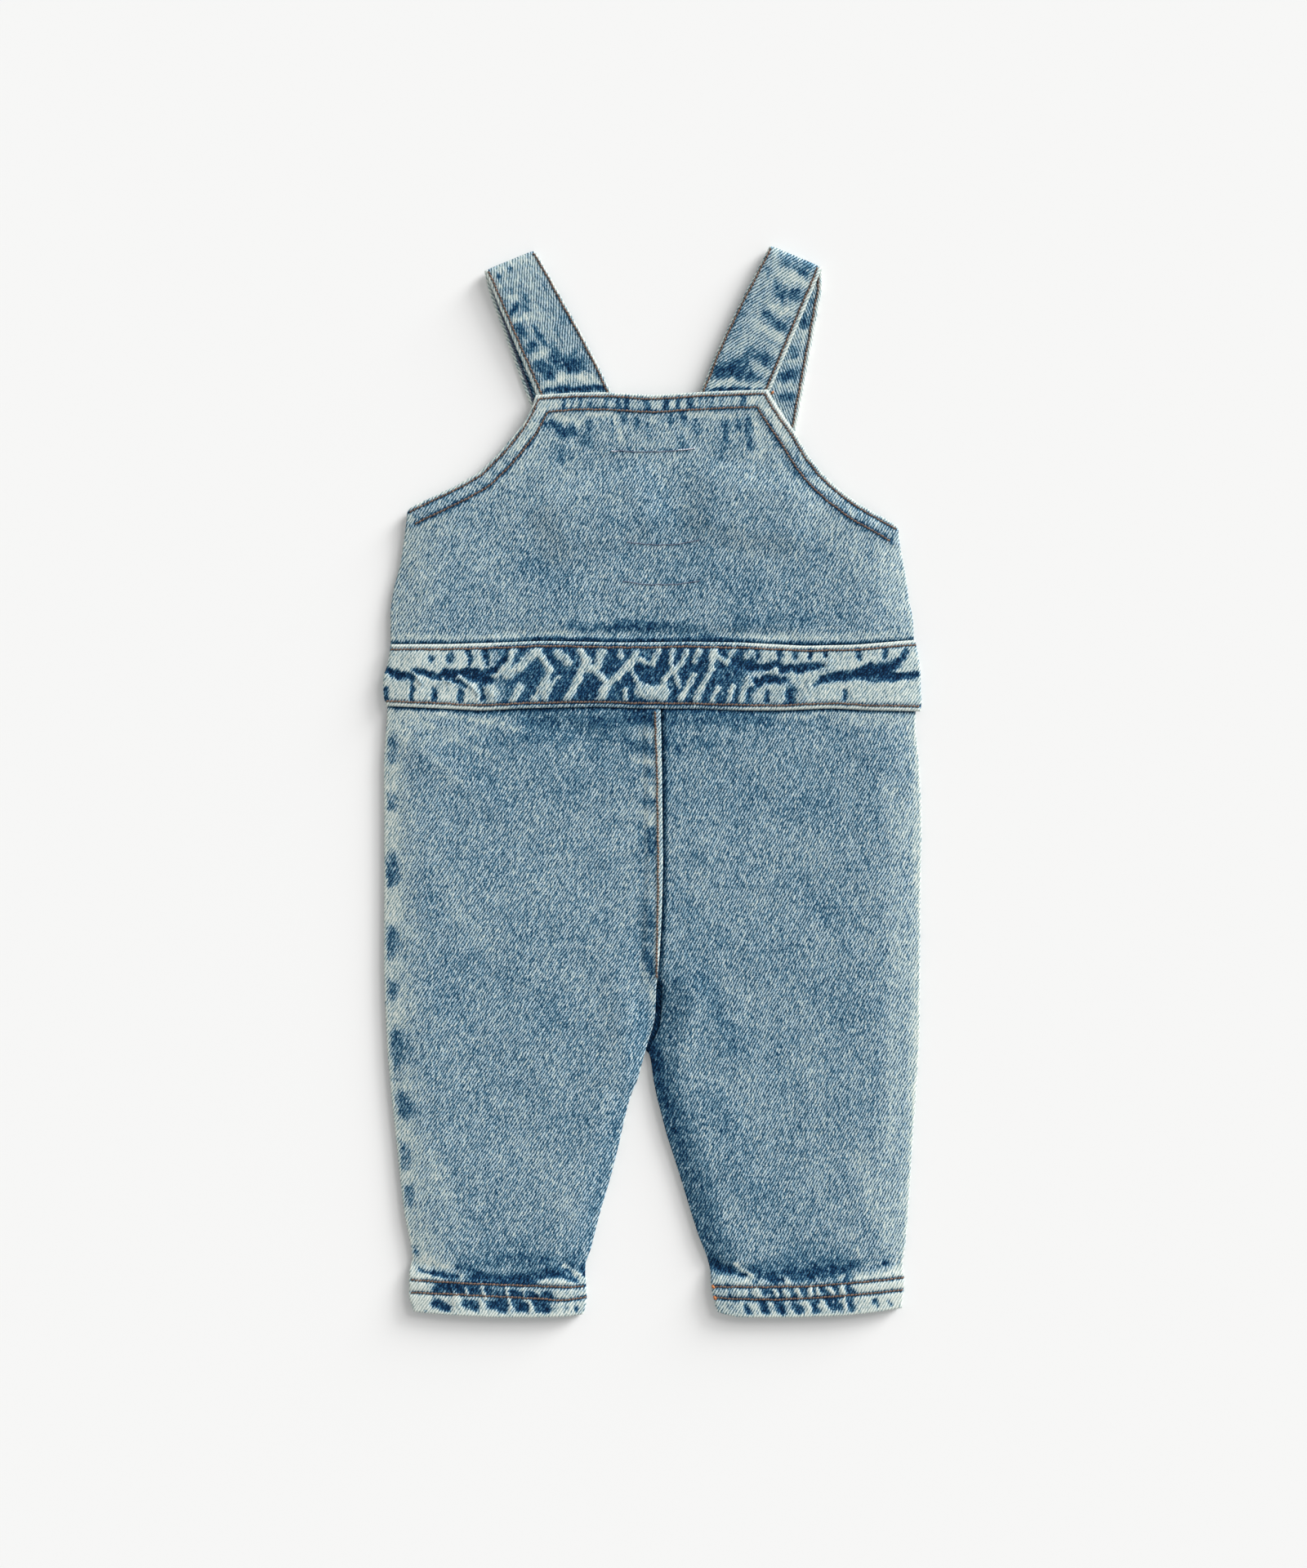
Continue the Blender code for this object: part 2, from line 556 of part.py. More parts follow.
def strap(name, upper, fold, lower_run):
    """A doubled strip: upper run, shoulder fold and lower run in one wall."""
    sections = np.array(upper + fold + lower_sections(lower_run, 28))
    left = sections[:, [0, 1, 4]]
    right = sections[:, [2, 3, 4]]
    middle = (left + right) / 2.0
    along = np.gradient(middle, axis=0)
    across = right - left
    normal = np.cross(across, along)
    normal /= np.linalg.norm(normal, axis=1)[:, None]
    count = 5
    data = bmesh.new()
    faces = []
    for sign in (1.0, -1.0):
        grid = []
        for i in range(len(sections)):
            offset = normal[i] * sign * STRAP_CLOTH / 2.0
            grid.append([data.verts.new(((left[i] + across[i] * share + offset) * MM))
                         for share in np.linspace(0.0, 1.0, count)])
        faces.append(grid)
    rows = len(sections)
    for grid in faces:
        for i in range(rows - 1):
            for j in range(count - 1):
                data.faces.new((grid[i][j], grid[i][j + 1], grid[i + 1][j + 1]))
                data.faces.new((grid[i][j], grid[i + 1][j + 1], grid[i + 1][j]))
    ring = [(0, j) for j in range(count)]
    ring += [(i, count - 1) for i in range(1, rows)]
    ring += [(rows - 1, j) for j in range(count - 2, -1, -1)]
    ring += [(i, 0) for i in range(rows - 2, 0, -1)]
    upper_face, lower_face = faces
    for (i, j), (k, m) in zip(ring, ring[1:] + ring[:1]):
        data.faces.new((upper_face[i][j], lower_face[i][j], lower_face[k][m]))
        data.faces.new((upper_face[i][j], lower_face[k][m], upper_face[k][m]))
    return add_object(name, data, denim(name + "_denim", DENIM))


def button(name, lower_run):
    """Plain dished button, face down on the floor under the strap's end."""
    centre_x, centre_y, _ = strap_frame(lower_run)
    profile = [
        (0.0, BUTTON_WELL_DEPTH), (BUTTON_WELL_RADIUS, BUTTON_WELL_DEPTH),
        (BUTTON_WELL_RADIUS + BUTTON_RIM, 0.0), (BUTTON_RADIUS - BUTTON_RIM, 0.0),
        (BUTTON_RADIUS, BUTTON_RIM), (BUTTON_RADIUS, BUTTON_HEIGHT - BUTTON_RIM),
        (BUTTON_RADIUS - BUTTON_RIM, BUTTON_HEIGHT), (0.0, BUTTON_HEIGHT),
    ]
    data = bmesh.new()
    points = [data.verts.new((radius * MM, 0.0, z * MM)) for radius, z in profile]
    edges = [data.edges.new(pair) for pair in zip(points, points[1:])]
    bmesh.ops.spin(data, geom=points + edges, cent=(0.0, 0.0, 0.0), axis=(0.0, 0.0, 1.0),
                   angle=math.tau, steps=BUTTON_SIDES, use_merge=True)
    bmesh.ops.remove_doubles(data, verts=data.verts, dist=0.00001)
    piece = add_object(name, data, denim(name + "_metal", METAL, 0.35, 1.0))
    piece.location = (centre_x * MM, centre_y * MM, 0.0)
    return piece


def main():
    """Clears the scene and builds every piece."""
    for old in list(bpy.data.objects):
        bpy.data.objects.remove(old, do_unlink=True)
    back_bib()
    front_bib()
    back_waistband()
    front_waistband()
    back_leg("back_leg_left", LEG_LEFT_OUTER, LEG_LEFT_INNER, HEM_LEFT, True, 1.0)
    back_leg("back_leg_right", LEG_RIGHT_INNER, LEG_RIGHT_OUTER, HEM_RIGHT, False, 0.0)
    front_leg("front_leg_left", LEG_LEFT_OUTER, LEG_LEFT_INNER, HEM_LEFT)
    front_leg("front_leg_right", LEG_RIGHT_INNER, LEG_RIGHT_OUTER, HEM_RIGHT)
    strap("strap_left", STRAP_LEFT_UPPER, STRAP_LEFT_FOLD, STRAP_LEFT_LOWER)
    strap("strap_right", STRAP_RIGHT_UPPER, STRAP_RIGHT_FOLD, STRAP_RIGHT_LOWER)
    button("button_left", STRAP_LEFT_LOWER)
    button("button_right", STRAP_RIGHT_LOWER)


main()
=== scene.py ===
import math
from functools import partial

import bpy
import numpy as np
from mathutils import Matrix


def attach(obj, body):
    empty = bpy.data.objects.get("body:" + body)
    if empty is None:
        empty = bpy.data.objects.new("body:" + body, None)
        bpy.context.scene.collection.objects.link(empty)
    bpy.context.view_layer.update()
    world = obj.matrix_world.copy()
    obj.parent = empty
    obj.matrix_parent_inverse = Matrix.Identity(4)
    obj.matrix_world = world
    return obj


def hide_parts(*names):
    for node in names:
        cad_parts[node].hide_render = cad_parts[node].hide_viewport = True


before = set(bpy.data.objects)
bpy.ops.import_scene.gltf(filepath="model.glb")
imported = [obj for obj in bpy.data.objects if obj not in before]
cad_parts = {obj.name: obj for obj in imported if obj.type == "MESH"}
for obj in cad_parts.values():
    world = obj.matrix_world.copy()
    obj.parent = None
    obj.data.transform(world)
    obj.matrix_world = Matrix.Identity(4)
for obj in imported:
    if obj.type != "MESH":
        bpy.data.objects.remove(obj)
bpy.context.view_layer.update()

# A baby's denim dungarees, laid flat on their front with the back side up.
# Every table is in millimetres in the frame of the model, and left and right are as seen from above.
MM = 0.001

# Cloth
CLOTH = 1.2
TURNED_CLOTH = 1.8
BAND_CLOTH = 2.2
STRAP_CLOTH = 2.0
ROUND_STEPS = (0.0, 0.12, 0.35, 0.7, 1.2)

# Turned edges, hems and the lap of the centre seam
TURNED_WIDTH = 7.8
TURNED_STEP = 1.6
TURNED_RELIEF = 0.3
HEM_WIDTH = 17.0
LAP_WIDTH = 7.0
LAP_RELIEF = 0.6
TUCK = 3.0
TUCK_DROP = 1.7
FRONT_INSET = 0.5
FRONT_SIDE_TOP = 126.0

# How far in from a side edge the upper layer takes to rise to its full height
SIDE_ROLL = 26.0
INSEAM_ROLL = 18.0
ROLL_POWER = 2.2

# Strap ends and buttons under the front bib
STRAP_WIDTH = 28.0
STRAP_HALF_WIDTH = STRAP_WIDTH / 2.0
STRAP_LIFT = 2.9
STRAP_MARGIN = 4.0
BUTTON_LIFT = 1.7
BUTTON_REACH = 8.0
BUTTON_SLOPE = 15.0
SIDE_SLOPE = 18.0
TAB_LENGTH = 14.0

# Sewing: the faces' sides, radii of the thread, its depth below, stitch length, places of the rows
# from an edge, their sway, and the groove and the painted shade beside them
UP = (0.0, 0.0, 1.0)
DOWN = (0.0, 0.0, -1.0)
THREAD = 0.47
LOWER_THREAD = 0.34
UNDER_THREAD = 0.42
STITCH = 1.9
OUTER_ROW = 2.0
INNER_ROW = 8.4
BAND_ROW = 2.5
STRAP_ROW = 2.0
STRAP_NECK_ROW = 1.2
ROW_SWAY = 0.22
GROOVE = 0.3
GROOVE_HALF_WIDTH = 0.9
# Painted shade beside each stitch row: how much darker, and how wide
PAINTED_ROW_SHADE = 1.25
PAINTED_ROW_SHADE_WIDTH = 0.9
# Bends of the marks' outlines: size of the noise, share
WOBBLES = ((2.6, 1.0), (1.3, 0.6), (0.8, 0.35))
# How far in from an edge the small folds reach their full height
CALM_WIDTH = 14.0

# Twill: distance between warp yarns, the height of one float with its dip, and how many weft
# yarns that takes
WARP_PITCH = 0.36
FLOAT_HEIGHT = 2.5
WEFT_YARNS = 4.0
FLOAT_PLACE = 0.36
# Clouds that the wash leaves: scale, stretch, detail, weight
WASH = [
    (0.7, (1.0, 0.8, 1.0), 1.5, 1.6), (0.5, (1.0, 0.22, 1.0), 1.0, 0.3),
    (0.06, (1.0, 0.7, 1.0), 2.0, 0.45),
]
# Share of a face that is lit, raised yarn, the rest being the groove with its painted shade, and how
# much chance changes a float, a crossing, the tone of both, and the tone of a pair of yarns
LIT_SHARE = 0.37
FLOAT_LUCK = 0.6
SPECK_LUCK = 0.75
TONE_SPECK = 0.5
SLUB = 0.5

# Grids of the shells: rows from and to, steps between rows, and columns
BIB_LOW = 65.0
BIB_HIGH = 190.0
BIB_STEP = 1.1
BIB_COLUMNS = 200
BAND_LOW = 35.2
BAND_HIGH = 67.2
BAND_STEP = 0.62
BAND_LENGTH = 262.0
LEG_LOW = -262.0
LEG_HIGH = 38.0
LEG_STEP = 1.5
LEG_COLUMNS = 112
HEM_GRID_TOP = -234.0
HEM_STEP = 0.8
FRONT_BIB_ROW_COUNT = 54
FRONT_BIB_COLUMNS = 130
FRONT_BAND_STEP = 1.2
FRONT_LEG_STEP = 3.0
FRONT_LEG_COLUMNS = 60
STRAP_ALONG_STEP = 0.85
STRAP_ACROSS_STEP = 0.9

# How a piece was laid on the bolt of cloth: tilt in degrees, and its own place along the bolt
BOLT = {
    "back_bib": (-2.0, 0.0), "back_waistband": (-6.0, 300.0),
    "back_leg_left": (-4.0, 1200.0), "back_leg_right": (1.0, 1500.0),
    "front_bib": (0.0, 600.0), "front_waistband": (2.0, 900.0),
    "front_leg_left": (3.0, 2400.0), "front_leg_right": (-2.0, 2700.0),
    "strap_left": (27.0, 2100.0), "strap_right": (-27.0, 1800.0),
}

# Outer edges of the bib: y, x
BIB_LEFT_EDGE = [
    (62, -128), (66.7, -128.3), (83.3, -128.6), (94, -127), (104.7, -123.8),
    (115.5, -122.2), (127.2, -120.6), (133.1, -120.2), (139.5, -106.8), (145.1, -95),
    (151.1, -84.8), (159.5, -76.2), (165.5, -71), (174.3, -64), (183.5, -59.2),
    (190, -57.3),
]
BIB_RIGHT_EDGE = [
    (62, 127.8), (67.9, 128), (78.3, 127.6), (88.3, 125.6), (100.3, 124),
    (110.3, 122), (120.3, 120.4), (124.7, 120.4), (130.3, 110.4), (135.9, 100.4),
    (143.5, 90.4), (150.7, 82.8), (158.3, 76.8), (165.1, 72.6), (171.9, 68.4),
    (177.4, 64.4), (183.6, 60.2), (190, 56.2),
]
# Top edge of the back bib: x, y
BIB_TOP_EDGE = [
    (-57.3, 188.5), (-39.6, 189.7), (-23.6, 189.9), (0.4, 188.5), (24.4, 190.1),
    (40.4, 190.7), (55.8, 191.3),
]
# Armholes and top edge of the front bib: x, y
FRONT_TOP_EDGE = [
    (-119.9, 131.5), (-108, 133), (-92, 135.5), (-75, 139.5), (-65, 143.4),
    (-56, 148.5), (68, 148.5), (74, 141), (82, 135.5), (95, 129.5),
    (108, 126), (120.2, 123.5),
]

# Waistband edges: x, y
BAND_TOP_EDGE = [
    (-132, 66.7), (-100.8, 66.7), (-68.6, 67.7), (-54.8, 68.3), (-15, 67.5),
    (17.9, 67.9), (43.4, 67.5), (74, 65.9), (99.6, 66.4), (132, 69.2),
]
BAND_BOTTOM_EDGE = [
    (-132, 36.6), (-100.8, 35.1), (-83.6, 34.2), (-63.2, 35.3), (-25.7, 36.1),
    (-7.6, 35.3), (23.6, 35.1), (43.4, 34.3), (63.8, 34.3), (87.2, 35.3),
    (107.6, 34.3), (132, 33.8),
]
FRONT_BAND_TOP = [(-200, 67.2), (200, 67.2)]
FRONT_BAND_BOTTOM = [(-200, 35.2), (200, 35.2)]
# Waistband ends: y, left x, right x
BAND_ENDS = [
    (34, -130, 131), (39.5, -131.8, 131.8), (44.5, -132, 131.3),
    (50.3, -132.2, 131.2), (55.5, -130.2, 131), (62.3, -129, 129.6),
    (69, -128.1, 128.1),
]

# Legs: y, outer x
LEG_LEFT_OUTER = [
    (-262.9, -117), (-260, -117.6), (-255.7, -119.4), (-243.7, -119.4),
    (-239.3, -119.2), (-233.7, -117.6), (-225.7, -119), (-213.7, -121.6),
    (-193.7, -124), (-173.7, -126), (-153.7, -128.2), (-133.7, -130),
    (-109.7, -131.2), (-89.7, -131.8), (-57.7, -131.6), (-17.7, -131.6),
    (10.3, -131.8), (22.3, -130.8), (40, -129.6),
]
LEG_RIGHT_OUTER = [
    (-262.9, 122), (-258.3, 122.4), (-249.7, 123.4), (-242.9, 123.2), (-237.2, 122.4),
    (-229.7, 123.6), (-221.7, 124.4), (-205.7, 125.6), (-185.7, 126.8), (-165.7, 128.2),
    (-145.7, 129.6), (-125.7, 130.8), (-97.7, 131), (-57.7, 131.2), (-25.7, 131.8),
    (-9.7, 131.6), (10.3, 130.4), (26.3, 128.8), (40, 128.8),
]
# Centre seam, then the inner edge of each leg: y, x
CENTRE_SEAM = [
    (-97.3, 2.2), (-89.7, 3), (-81.7, 3.6), (-65.7, 4.4), (-41.7, 5), (4.7, 4.5), (40, 3.8),
]
LEG_LEFT_INNER = [
    (-262.9, -34.4), (-257.7, -32.6), (-252.9, -32.2), (-247.2, -32.6), (-242.9, -33),
    (-236.5, -33), (-230, -30.4), (-221.7, -28.4), (-209.7, -25.2), (-193.7, -20.4),
    (-177.7, -16.4), (-169.3, -14.6), (-158.5, -12), (-152.5, -10), (-146.9, -7.4),
    (-139.2, -5.4), (-132.1, -3.4), (-126.5, -1.8), (-122.4, -0.3), (-116.8, 1),
    (-110.1, 1.5), (-102.5, 1.6),
] + CENTRE_SEAM
LEG_RIGHT_INNER = [
    (-262.9, 32), (-259.3, 30.6), (-252.5, 29), (-245.7, 28.4), (-239.7, 28.2),
    (-232.9, 26.5), (-223.5, 22.6), (-211.1, 18.6), (-198.1, 14.7), (-185.7, 10.8),
    (-173.5, 6.8), (-163.7, 4.3), (-155.1, 2), (-145.9, 0.2), (-137.7, -0.8),
    (-132.1, -2.3), (-127.7, 0.4), (-120.1, 3.6), (-110.1, 4.6), (-101.5, 4.6),
] + [(y, x + 0.3) for y, x in CENTRE_SEAM]
CROTCH = -97.3
CROTCH_FADE = 34.0
# From the crotch down to here the right front leg is widened across the gap, as a dark sheet that
# stands for the shade there
CROTCH_SHADE_FILL_END = -133.0

# Hem edges and the two stitch rows of each hem: x, y
HEM_LEFT = [
    (-119.4, -259.8), (-113.3, -260.7), (-99, -261.7), (-77.6, -262.9), (-56.2, -262.9),
    (-41.9, -262.5), (-32, -261.2),
]
HEM_RIGHT = [
    (28.4, -258.8), (33.2, -260.9), (39.4, -262.5), (47, -262.9), (70, -262.9),
    (92.9, -262.1), (108.2, -260.5), (123.4, -258.2),
]
HEM_LEFT_ROWS = [
    [(-118.4, -244.5), (-92, -246.1), (-56.2, -247.5), (-42, -248.1), (-32.9, -247.5)],
    [(-118.4, -250.7), (-92, -251.7), (-56.2, -253.6), (-42, -254.5), (-32.6, -252.9)],
]
HEM_RIGHT_ROWS = [
    [(30.2, -247.9), (54.7, -247.9), (77.6, -247.5), (100.4, -245.6), (122.8, -243.5)],
    [(30.6, -253.3), (54.7, -254.1), (77.6, -253.3), (100.4, -251.7), (122.8, -249.5)],
]

# Height of the upper layer's outer face: y, at the side edges, in the middle
BIB_LEVELS = [
    (60, 3.9, 5.8), (66, 3.9, 5.8), (90, 3.2, 6), (115, 3.6, 6), (127, 4.1, 6.1),
    (140, 4.6, 6.2), (160, 5.5, 6.2), (180, 6.2, 6.3), (192, 6.4, 6.4),
]
LEG_LEVELS = [
    (-263, 4, 5.4), (-246, 4.1, 5.6), (-238, 3.3, 5.2), (-200, 3.2, 5.4),
    (-130, 3.2, 5.5), (-40, 3.2, 5.6), (20, 3.2, 5.8), (40, 3.9, 5.8),
]
BAND_EDGE_LEVEL = 4.8
BAND_MIDDLE_LEVEL = 6.7

# Straps, one row for each section: left x, left y, right x, right y, height of the middle
STRAP_RIGHT_UPPER = [
    (18.7, 180, 52.5, 179.6, 3.3), (24, 191.9, 57.8, 191.5, 3.4),
    (30, 207, 63.4, 204.6, 3.9), (38, 224.4, 69.4, 218.8, 4.3),
    (45, 238.4, 74.2, 230.2, 4.5), (50.8, 249.4, 78.4, 240, 4.6),
    (55.6, 258.6, 81.6, 248, 4.5),
]
STRAP_RIGHT_FOLD = [
    (57.1, 261.6, 82.7, 250.8, 3.7), (57.3, 262, 83, 251.1, 2.8),
    (57, 261.2, 82.8, 250, 1.7),
]
STRAP_LEFT_UPPER = [
    (-51.4, 177.4, -15.2, 178.4, 3.3), (-57.1, 189.1, -20.4, 190.2, 3.4),
    (-62, 201, -27, 204.2, 3.9), (-68.4, 215.8, -35.2, 219.6, 4.3),
    (-74.2, 229.6, -43.4, 234.4, 4.5), (-78.4, 239.8, -50.4, 247, 4.6),
    (-81.2, 246.6, -55.6, 256, 4.5),
]
STRAP_LEFT_FOLD = [
    (-82.2, 249, -57.6, 259.2, 3.7), (-82.4, 249.5, -58, 259.5, 2.8),
    (-82.3, 248.6, -57.7, 258.7, 1.7),
]
# Lower runs: x and y of the middle at the start, direction in degrees, length
STRAP_RIGHT_LOWER = (70.4, 249.6, -100.5, 132.9)
STRAP_LEFT_LOWER = (-69, 249.8, -70, 140.4)

# Soft folds in the upper layer: x0, y0, x1, y1, half width, height
FOLDS = [
    (-74, 71.6, 66, 71.2, 2.6, -0.5), (-6, -74, -1, -132, 5, -0.7),
    (-19, -96, -12, -146, 6, 0.5), (20, -104, 12, -150, 6, 0.5),
    (-124, 22, -74, -14, 6, 0.4), (-60, 30, -30, 22, 4.5, -0.4),
    (-117, -236, -96, -240.5, 2.6, -0.5), (-44, -237, -35, -244, 2.6, -0.6),
    (28, -236, 46, -241.5, 2.6, -0.6),
]

# Wear, with painted shade in some rows, placed one by one: x0, y0, x1, y1, half width, tone.
# A tone of -1 is deep indigo, where the wash never reached, 0 is the middle blue, and 1 is cream,
# on ridges and edges.
BAND_MARKS = [
    (-131.2, 54.3, -124, 51.5, 1.6, -2.3), (-124, 51.5, -116.8, 50.3, 1.5, -2.3),
    (-116, 53.5, -109.2, 51.9, 1.4, -2.3), (-109.2, 51.9, -103.2, 50.7, 1.4, -2.3),
    (-101.6, 53.1, -92.8, 52.3, 1.4, -2.3), (-92.8, 52.3, -90.4, 53.5, 1.3, -2.1),
    (-90.4, 53.5, -81.2, 52.7, 1.4, -2.2), (-81.2, 52.7, -76.4, 54.7, 1.4, -2.1),
    (-76.4, 54.7, -72.8, 59.9, 1.4, -1.7), (-72.8, 59.9, -72, 63.5, 1.6, -1.5),
    (-100.8, 50.7, -91.2, 46.7, 1.6, -2), (-88.4, 50.7, -79.2, 49.1, 2.3, -2),
    (-83.6, 46.7, -83.2, 39.5, 1.2, -1.7), (-117.6, 47.9, -118, 39.5, 1, -1.3),
    (-106.8, 44.3, -107.2, 39.5, 1.2, -1.5), (-93.6, 43.5, -94, 39.5, 1.3, -1.5),
    (-130.4, 45.1, -130.4, 40.3, 1.2, -1.2), (-108.4, 59.9, -108.4, 58.7, 1.2, -1),
    (-99.2, 61.1, -99.2, 58.7, 1.4, -1.1), (-90, 63.5, -89.2, 57.5, 1.2, -1.3),
    (-82, 63.5, -81.2, 57.5, 1.4, -1.5), (-77.6, 51.1, -72, 55.5, 1.4, 1.5),
    (-72, 55.5, -68, 63.5, 1.8, 1.8), (-71.2, 51.1, -64.8, 55.5, 1.6, 1.6),
    (-64.8, 55.5, -58.4, 61.9, 1.8, 1.8), (-58.4, 61.9, -55.6, 63.5, 1.6, 1.6),
    (-55.6, 62.7, -50.4, 53.9, 1.4, 1.6), (-50.4, 53.9, -54.8, 44.7, 1.4, 1.7),
    (-54.8, 44.7, -58.4, 39.1, 1.4, 1.6), (-46, 62.3, -41.6, 57.9, 2.2, 1.3),
    (-51.2, 47.1, -52.4, 39.9, 1.6, 1.5), (-78.8, 45.5, -78, 39.5, 2.2, 1.4),
    (-65.2, 45.9, -68, 39.5, 1.8, 1.5), (-49.2, 47.1, -46, 50.7, 1, 0.8),
    (-94.8, 50.7, -85.6, 43.1, 1, 1.6), (-85.6, 43.1, -85.2, 39.5, 1, 1.2),
    (-35.2, 63.5, -32.4, 57.5, 1.6, 1.6), (-32.4, 57.5, -36.8, 49.1, 1.6, 1.8),
    (-36.8, 49.1, -42, 39.1, 1.7, 1.8), (-24.8, 63.5, -26.8, 56.7, 2, 1.5),
    (-26.8, 56.7, -30.8, 54.3, 1.6, 1.4), (-28.8, 53.9, -23.2, 48.3, 1.2, 1.4),
    (-23.2, 48.3, -26.4, 39.5, 1.4, 1.5), (-7.6, 63.5, -10.4, 57.5, 1.6, 1.7),
    (-10.4, 57.5, -19.2, 49.5, 1.6, 1.8), (-19.2, 49.5, -24, 41.5, 1.4, 1.8),
    (-15.6, 63.5, -15.6, 61.1, 1.2, 1.3), (-10.4, 55.1, -8.4, 49.1, 1, 1.1),
    (-8.4, 49.1, -3.6, 44.3, 1.4, 1.2), (-3.6, 43.5, 5.2, 42.7, 2.6, 1.3),
    (-13.2, 43.9, -13.2, 39.5, 1, 1.3), (3.2, 64.7, 0, 57.1, 1.2, 1.4),
    (-6, 59.1, -2.4, 57.9, 1.2, 1.1), (10, 64.7, 8.8, 58.3, 1.2, 1.5),
    (8.8, 58.3, 10, 54.3, 1.2, 1.5), (10, 54.3, 6.4, 49.9, 1.2, 1.7),
    (6.4, 49.9, 4, 39.9, 1.4, 1.7), (16.8, 63.5, 12.4, 54.3, 1.2, 1.5),
    (10, 54.3, 12.8, 46.3, 1.2, 1.3), (23.2, 64.7, 20.4, 58.3, 1.2, 1.4),
    (20.4, 51.5, 13.6, 39.5, 1.4, 1.7), (30, 64.7, 28.8, 54.7, 1.4, 1.8),
    (28.8, 54.7, 20.4, 38.7, 1.4, 1.8), (30, 61.5, 36.4, 57.9, 1.2, 1.5),
    (36.4, 57.9, 40.4, 64.7, 1.2, 1.7), (48, 63.5, 44.4, 59.5, 1.2, 1.4),
    (-13.2, 44.3, -13.2, 39.9, 1.2, 1.3), (-6, 43.9, 5.2, 42.3, 3.1, 1.1),
    (32, 45.1, 28.8, 38.7, 1.2, 1.4), (39.2, 46.3, 36.4, 38.3, 1.2, 1.4),
    (47.2, 49.9, 42.8, 38.3, 1.4, 1.4), (-19.6, 46.3, -17.2, 39.5, 1.8, -0.7),
    (8.8, 48.3, 8.8, 39.5, 1.3, -0.7), (40, 57.9, 48, 57.5, 1.9, -1.53),
    (-7.6, 63.5, -1.2, 62.3, 1.8, -0.7), (18.4, 42.3, 18.4, 38.3, 1.6, -0.7),
    (38.8, 59.1, 42.8, 56.3, 1.6, -1.6), (42.8, 56.3, 55.6, 55.1, 1.7, -1.89),
    (55.6, 55.1, 60.8, 57.1, 1.6, -1.89), (60.8, 57.1, 63.2, 54.7, 1.5, -1.6),
    (63.2, 54.7, 72, 54.7, 1.7, -2.27), (72, 54.7, 82.8, 55.9, 1.7, -2.27),
    (46.4, 39.1, 47.2, 44.3, 1.2, -1.2), (47.2, 44.3, 51.2, 48.3, 1.6, -1.79),
    (51.2, 48.3, 55.6, 49.9, 1.7, -1.98), (55.6, 49.9, 66.4, 48.7, 1.8, -1.89),
    (78, 47.1, 82.8, 49.5, 1.7, -1.79), (82.8, 49.5, 90, 50.7, 1.8, -2.17),
    (90, 50.7, 100, 51.9, 2, -2.27), (100, 51.9, 106, 55.1, 1.8, -2.27),
    (106, 55.1, 112.8, 54.7, 1.8, -2.27), (112.8, 54.7, 119.2, 57.1, 1.8, -2.27),
    (119.2, 57.1, 123.6, 62.7, 1.5, -1.6), (104.4, 51.9, 115.2, 51.5, 2.8, -1.79),
    (118, 50.3, 128.4, 51.9, 1.5, -1.79), (86, 57.9, 77.2, 47.5, 2.1, 1),
    (77.2, 47.5, 72, 38.7, 2.1, 1), (60.8, 55.1, 49.2, 47.1, 1.4, 1.1),
    (49.2, 47.1, 42.8, 38.7, 1.4, 1.1), (66.8, 48.7, 60.8, 38.7, 1.8, 1),
    (42.8, 63.5, 42.8, 59.9, 1.2, -1.3), (51.2, 63.5, 51.2, 59.9, 1, -1.1),
    (62.4, 63.5, 62.4, 59.9, 1.2, -1.1), (69.6, 63.5, 69.6, 59.5, 1.2, -1.1),
    (77.2, 63.5, 77.2, 59.9, 1.2, -1.1), (84.4, 63.5, 84.4, 59.9, 1.2, -1.1),
    (100.8, 63.5, 100.8, 59.9, 1.2, -1.1), (113.6, 63.5, 113.6, 59.9, 1.2, -1),
    (40.4, 43.1, 40.4, 39.1, 1.2, -1.3), (56, 43.1, 56, 39.1, 1.2, -1.3),
    (66.8, 43.9, 66.8, 38.7, 2.5, -1.6), (94, 43.5, 94, 39.9, 1.3, -1),
    (-116.8, 52.3, -112.8, 47.1, 0.7, 2.6), (-102.8, 50.7, -98.8, 47.5, 0.7, 2.2),
]
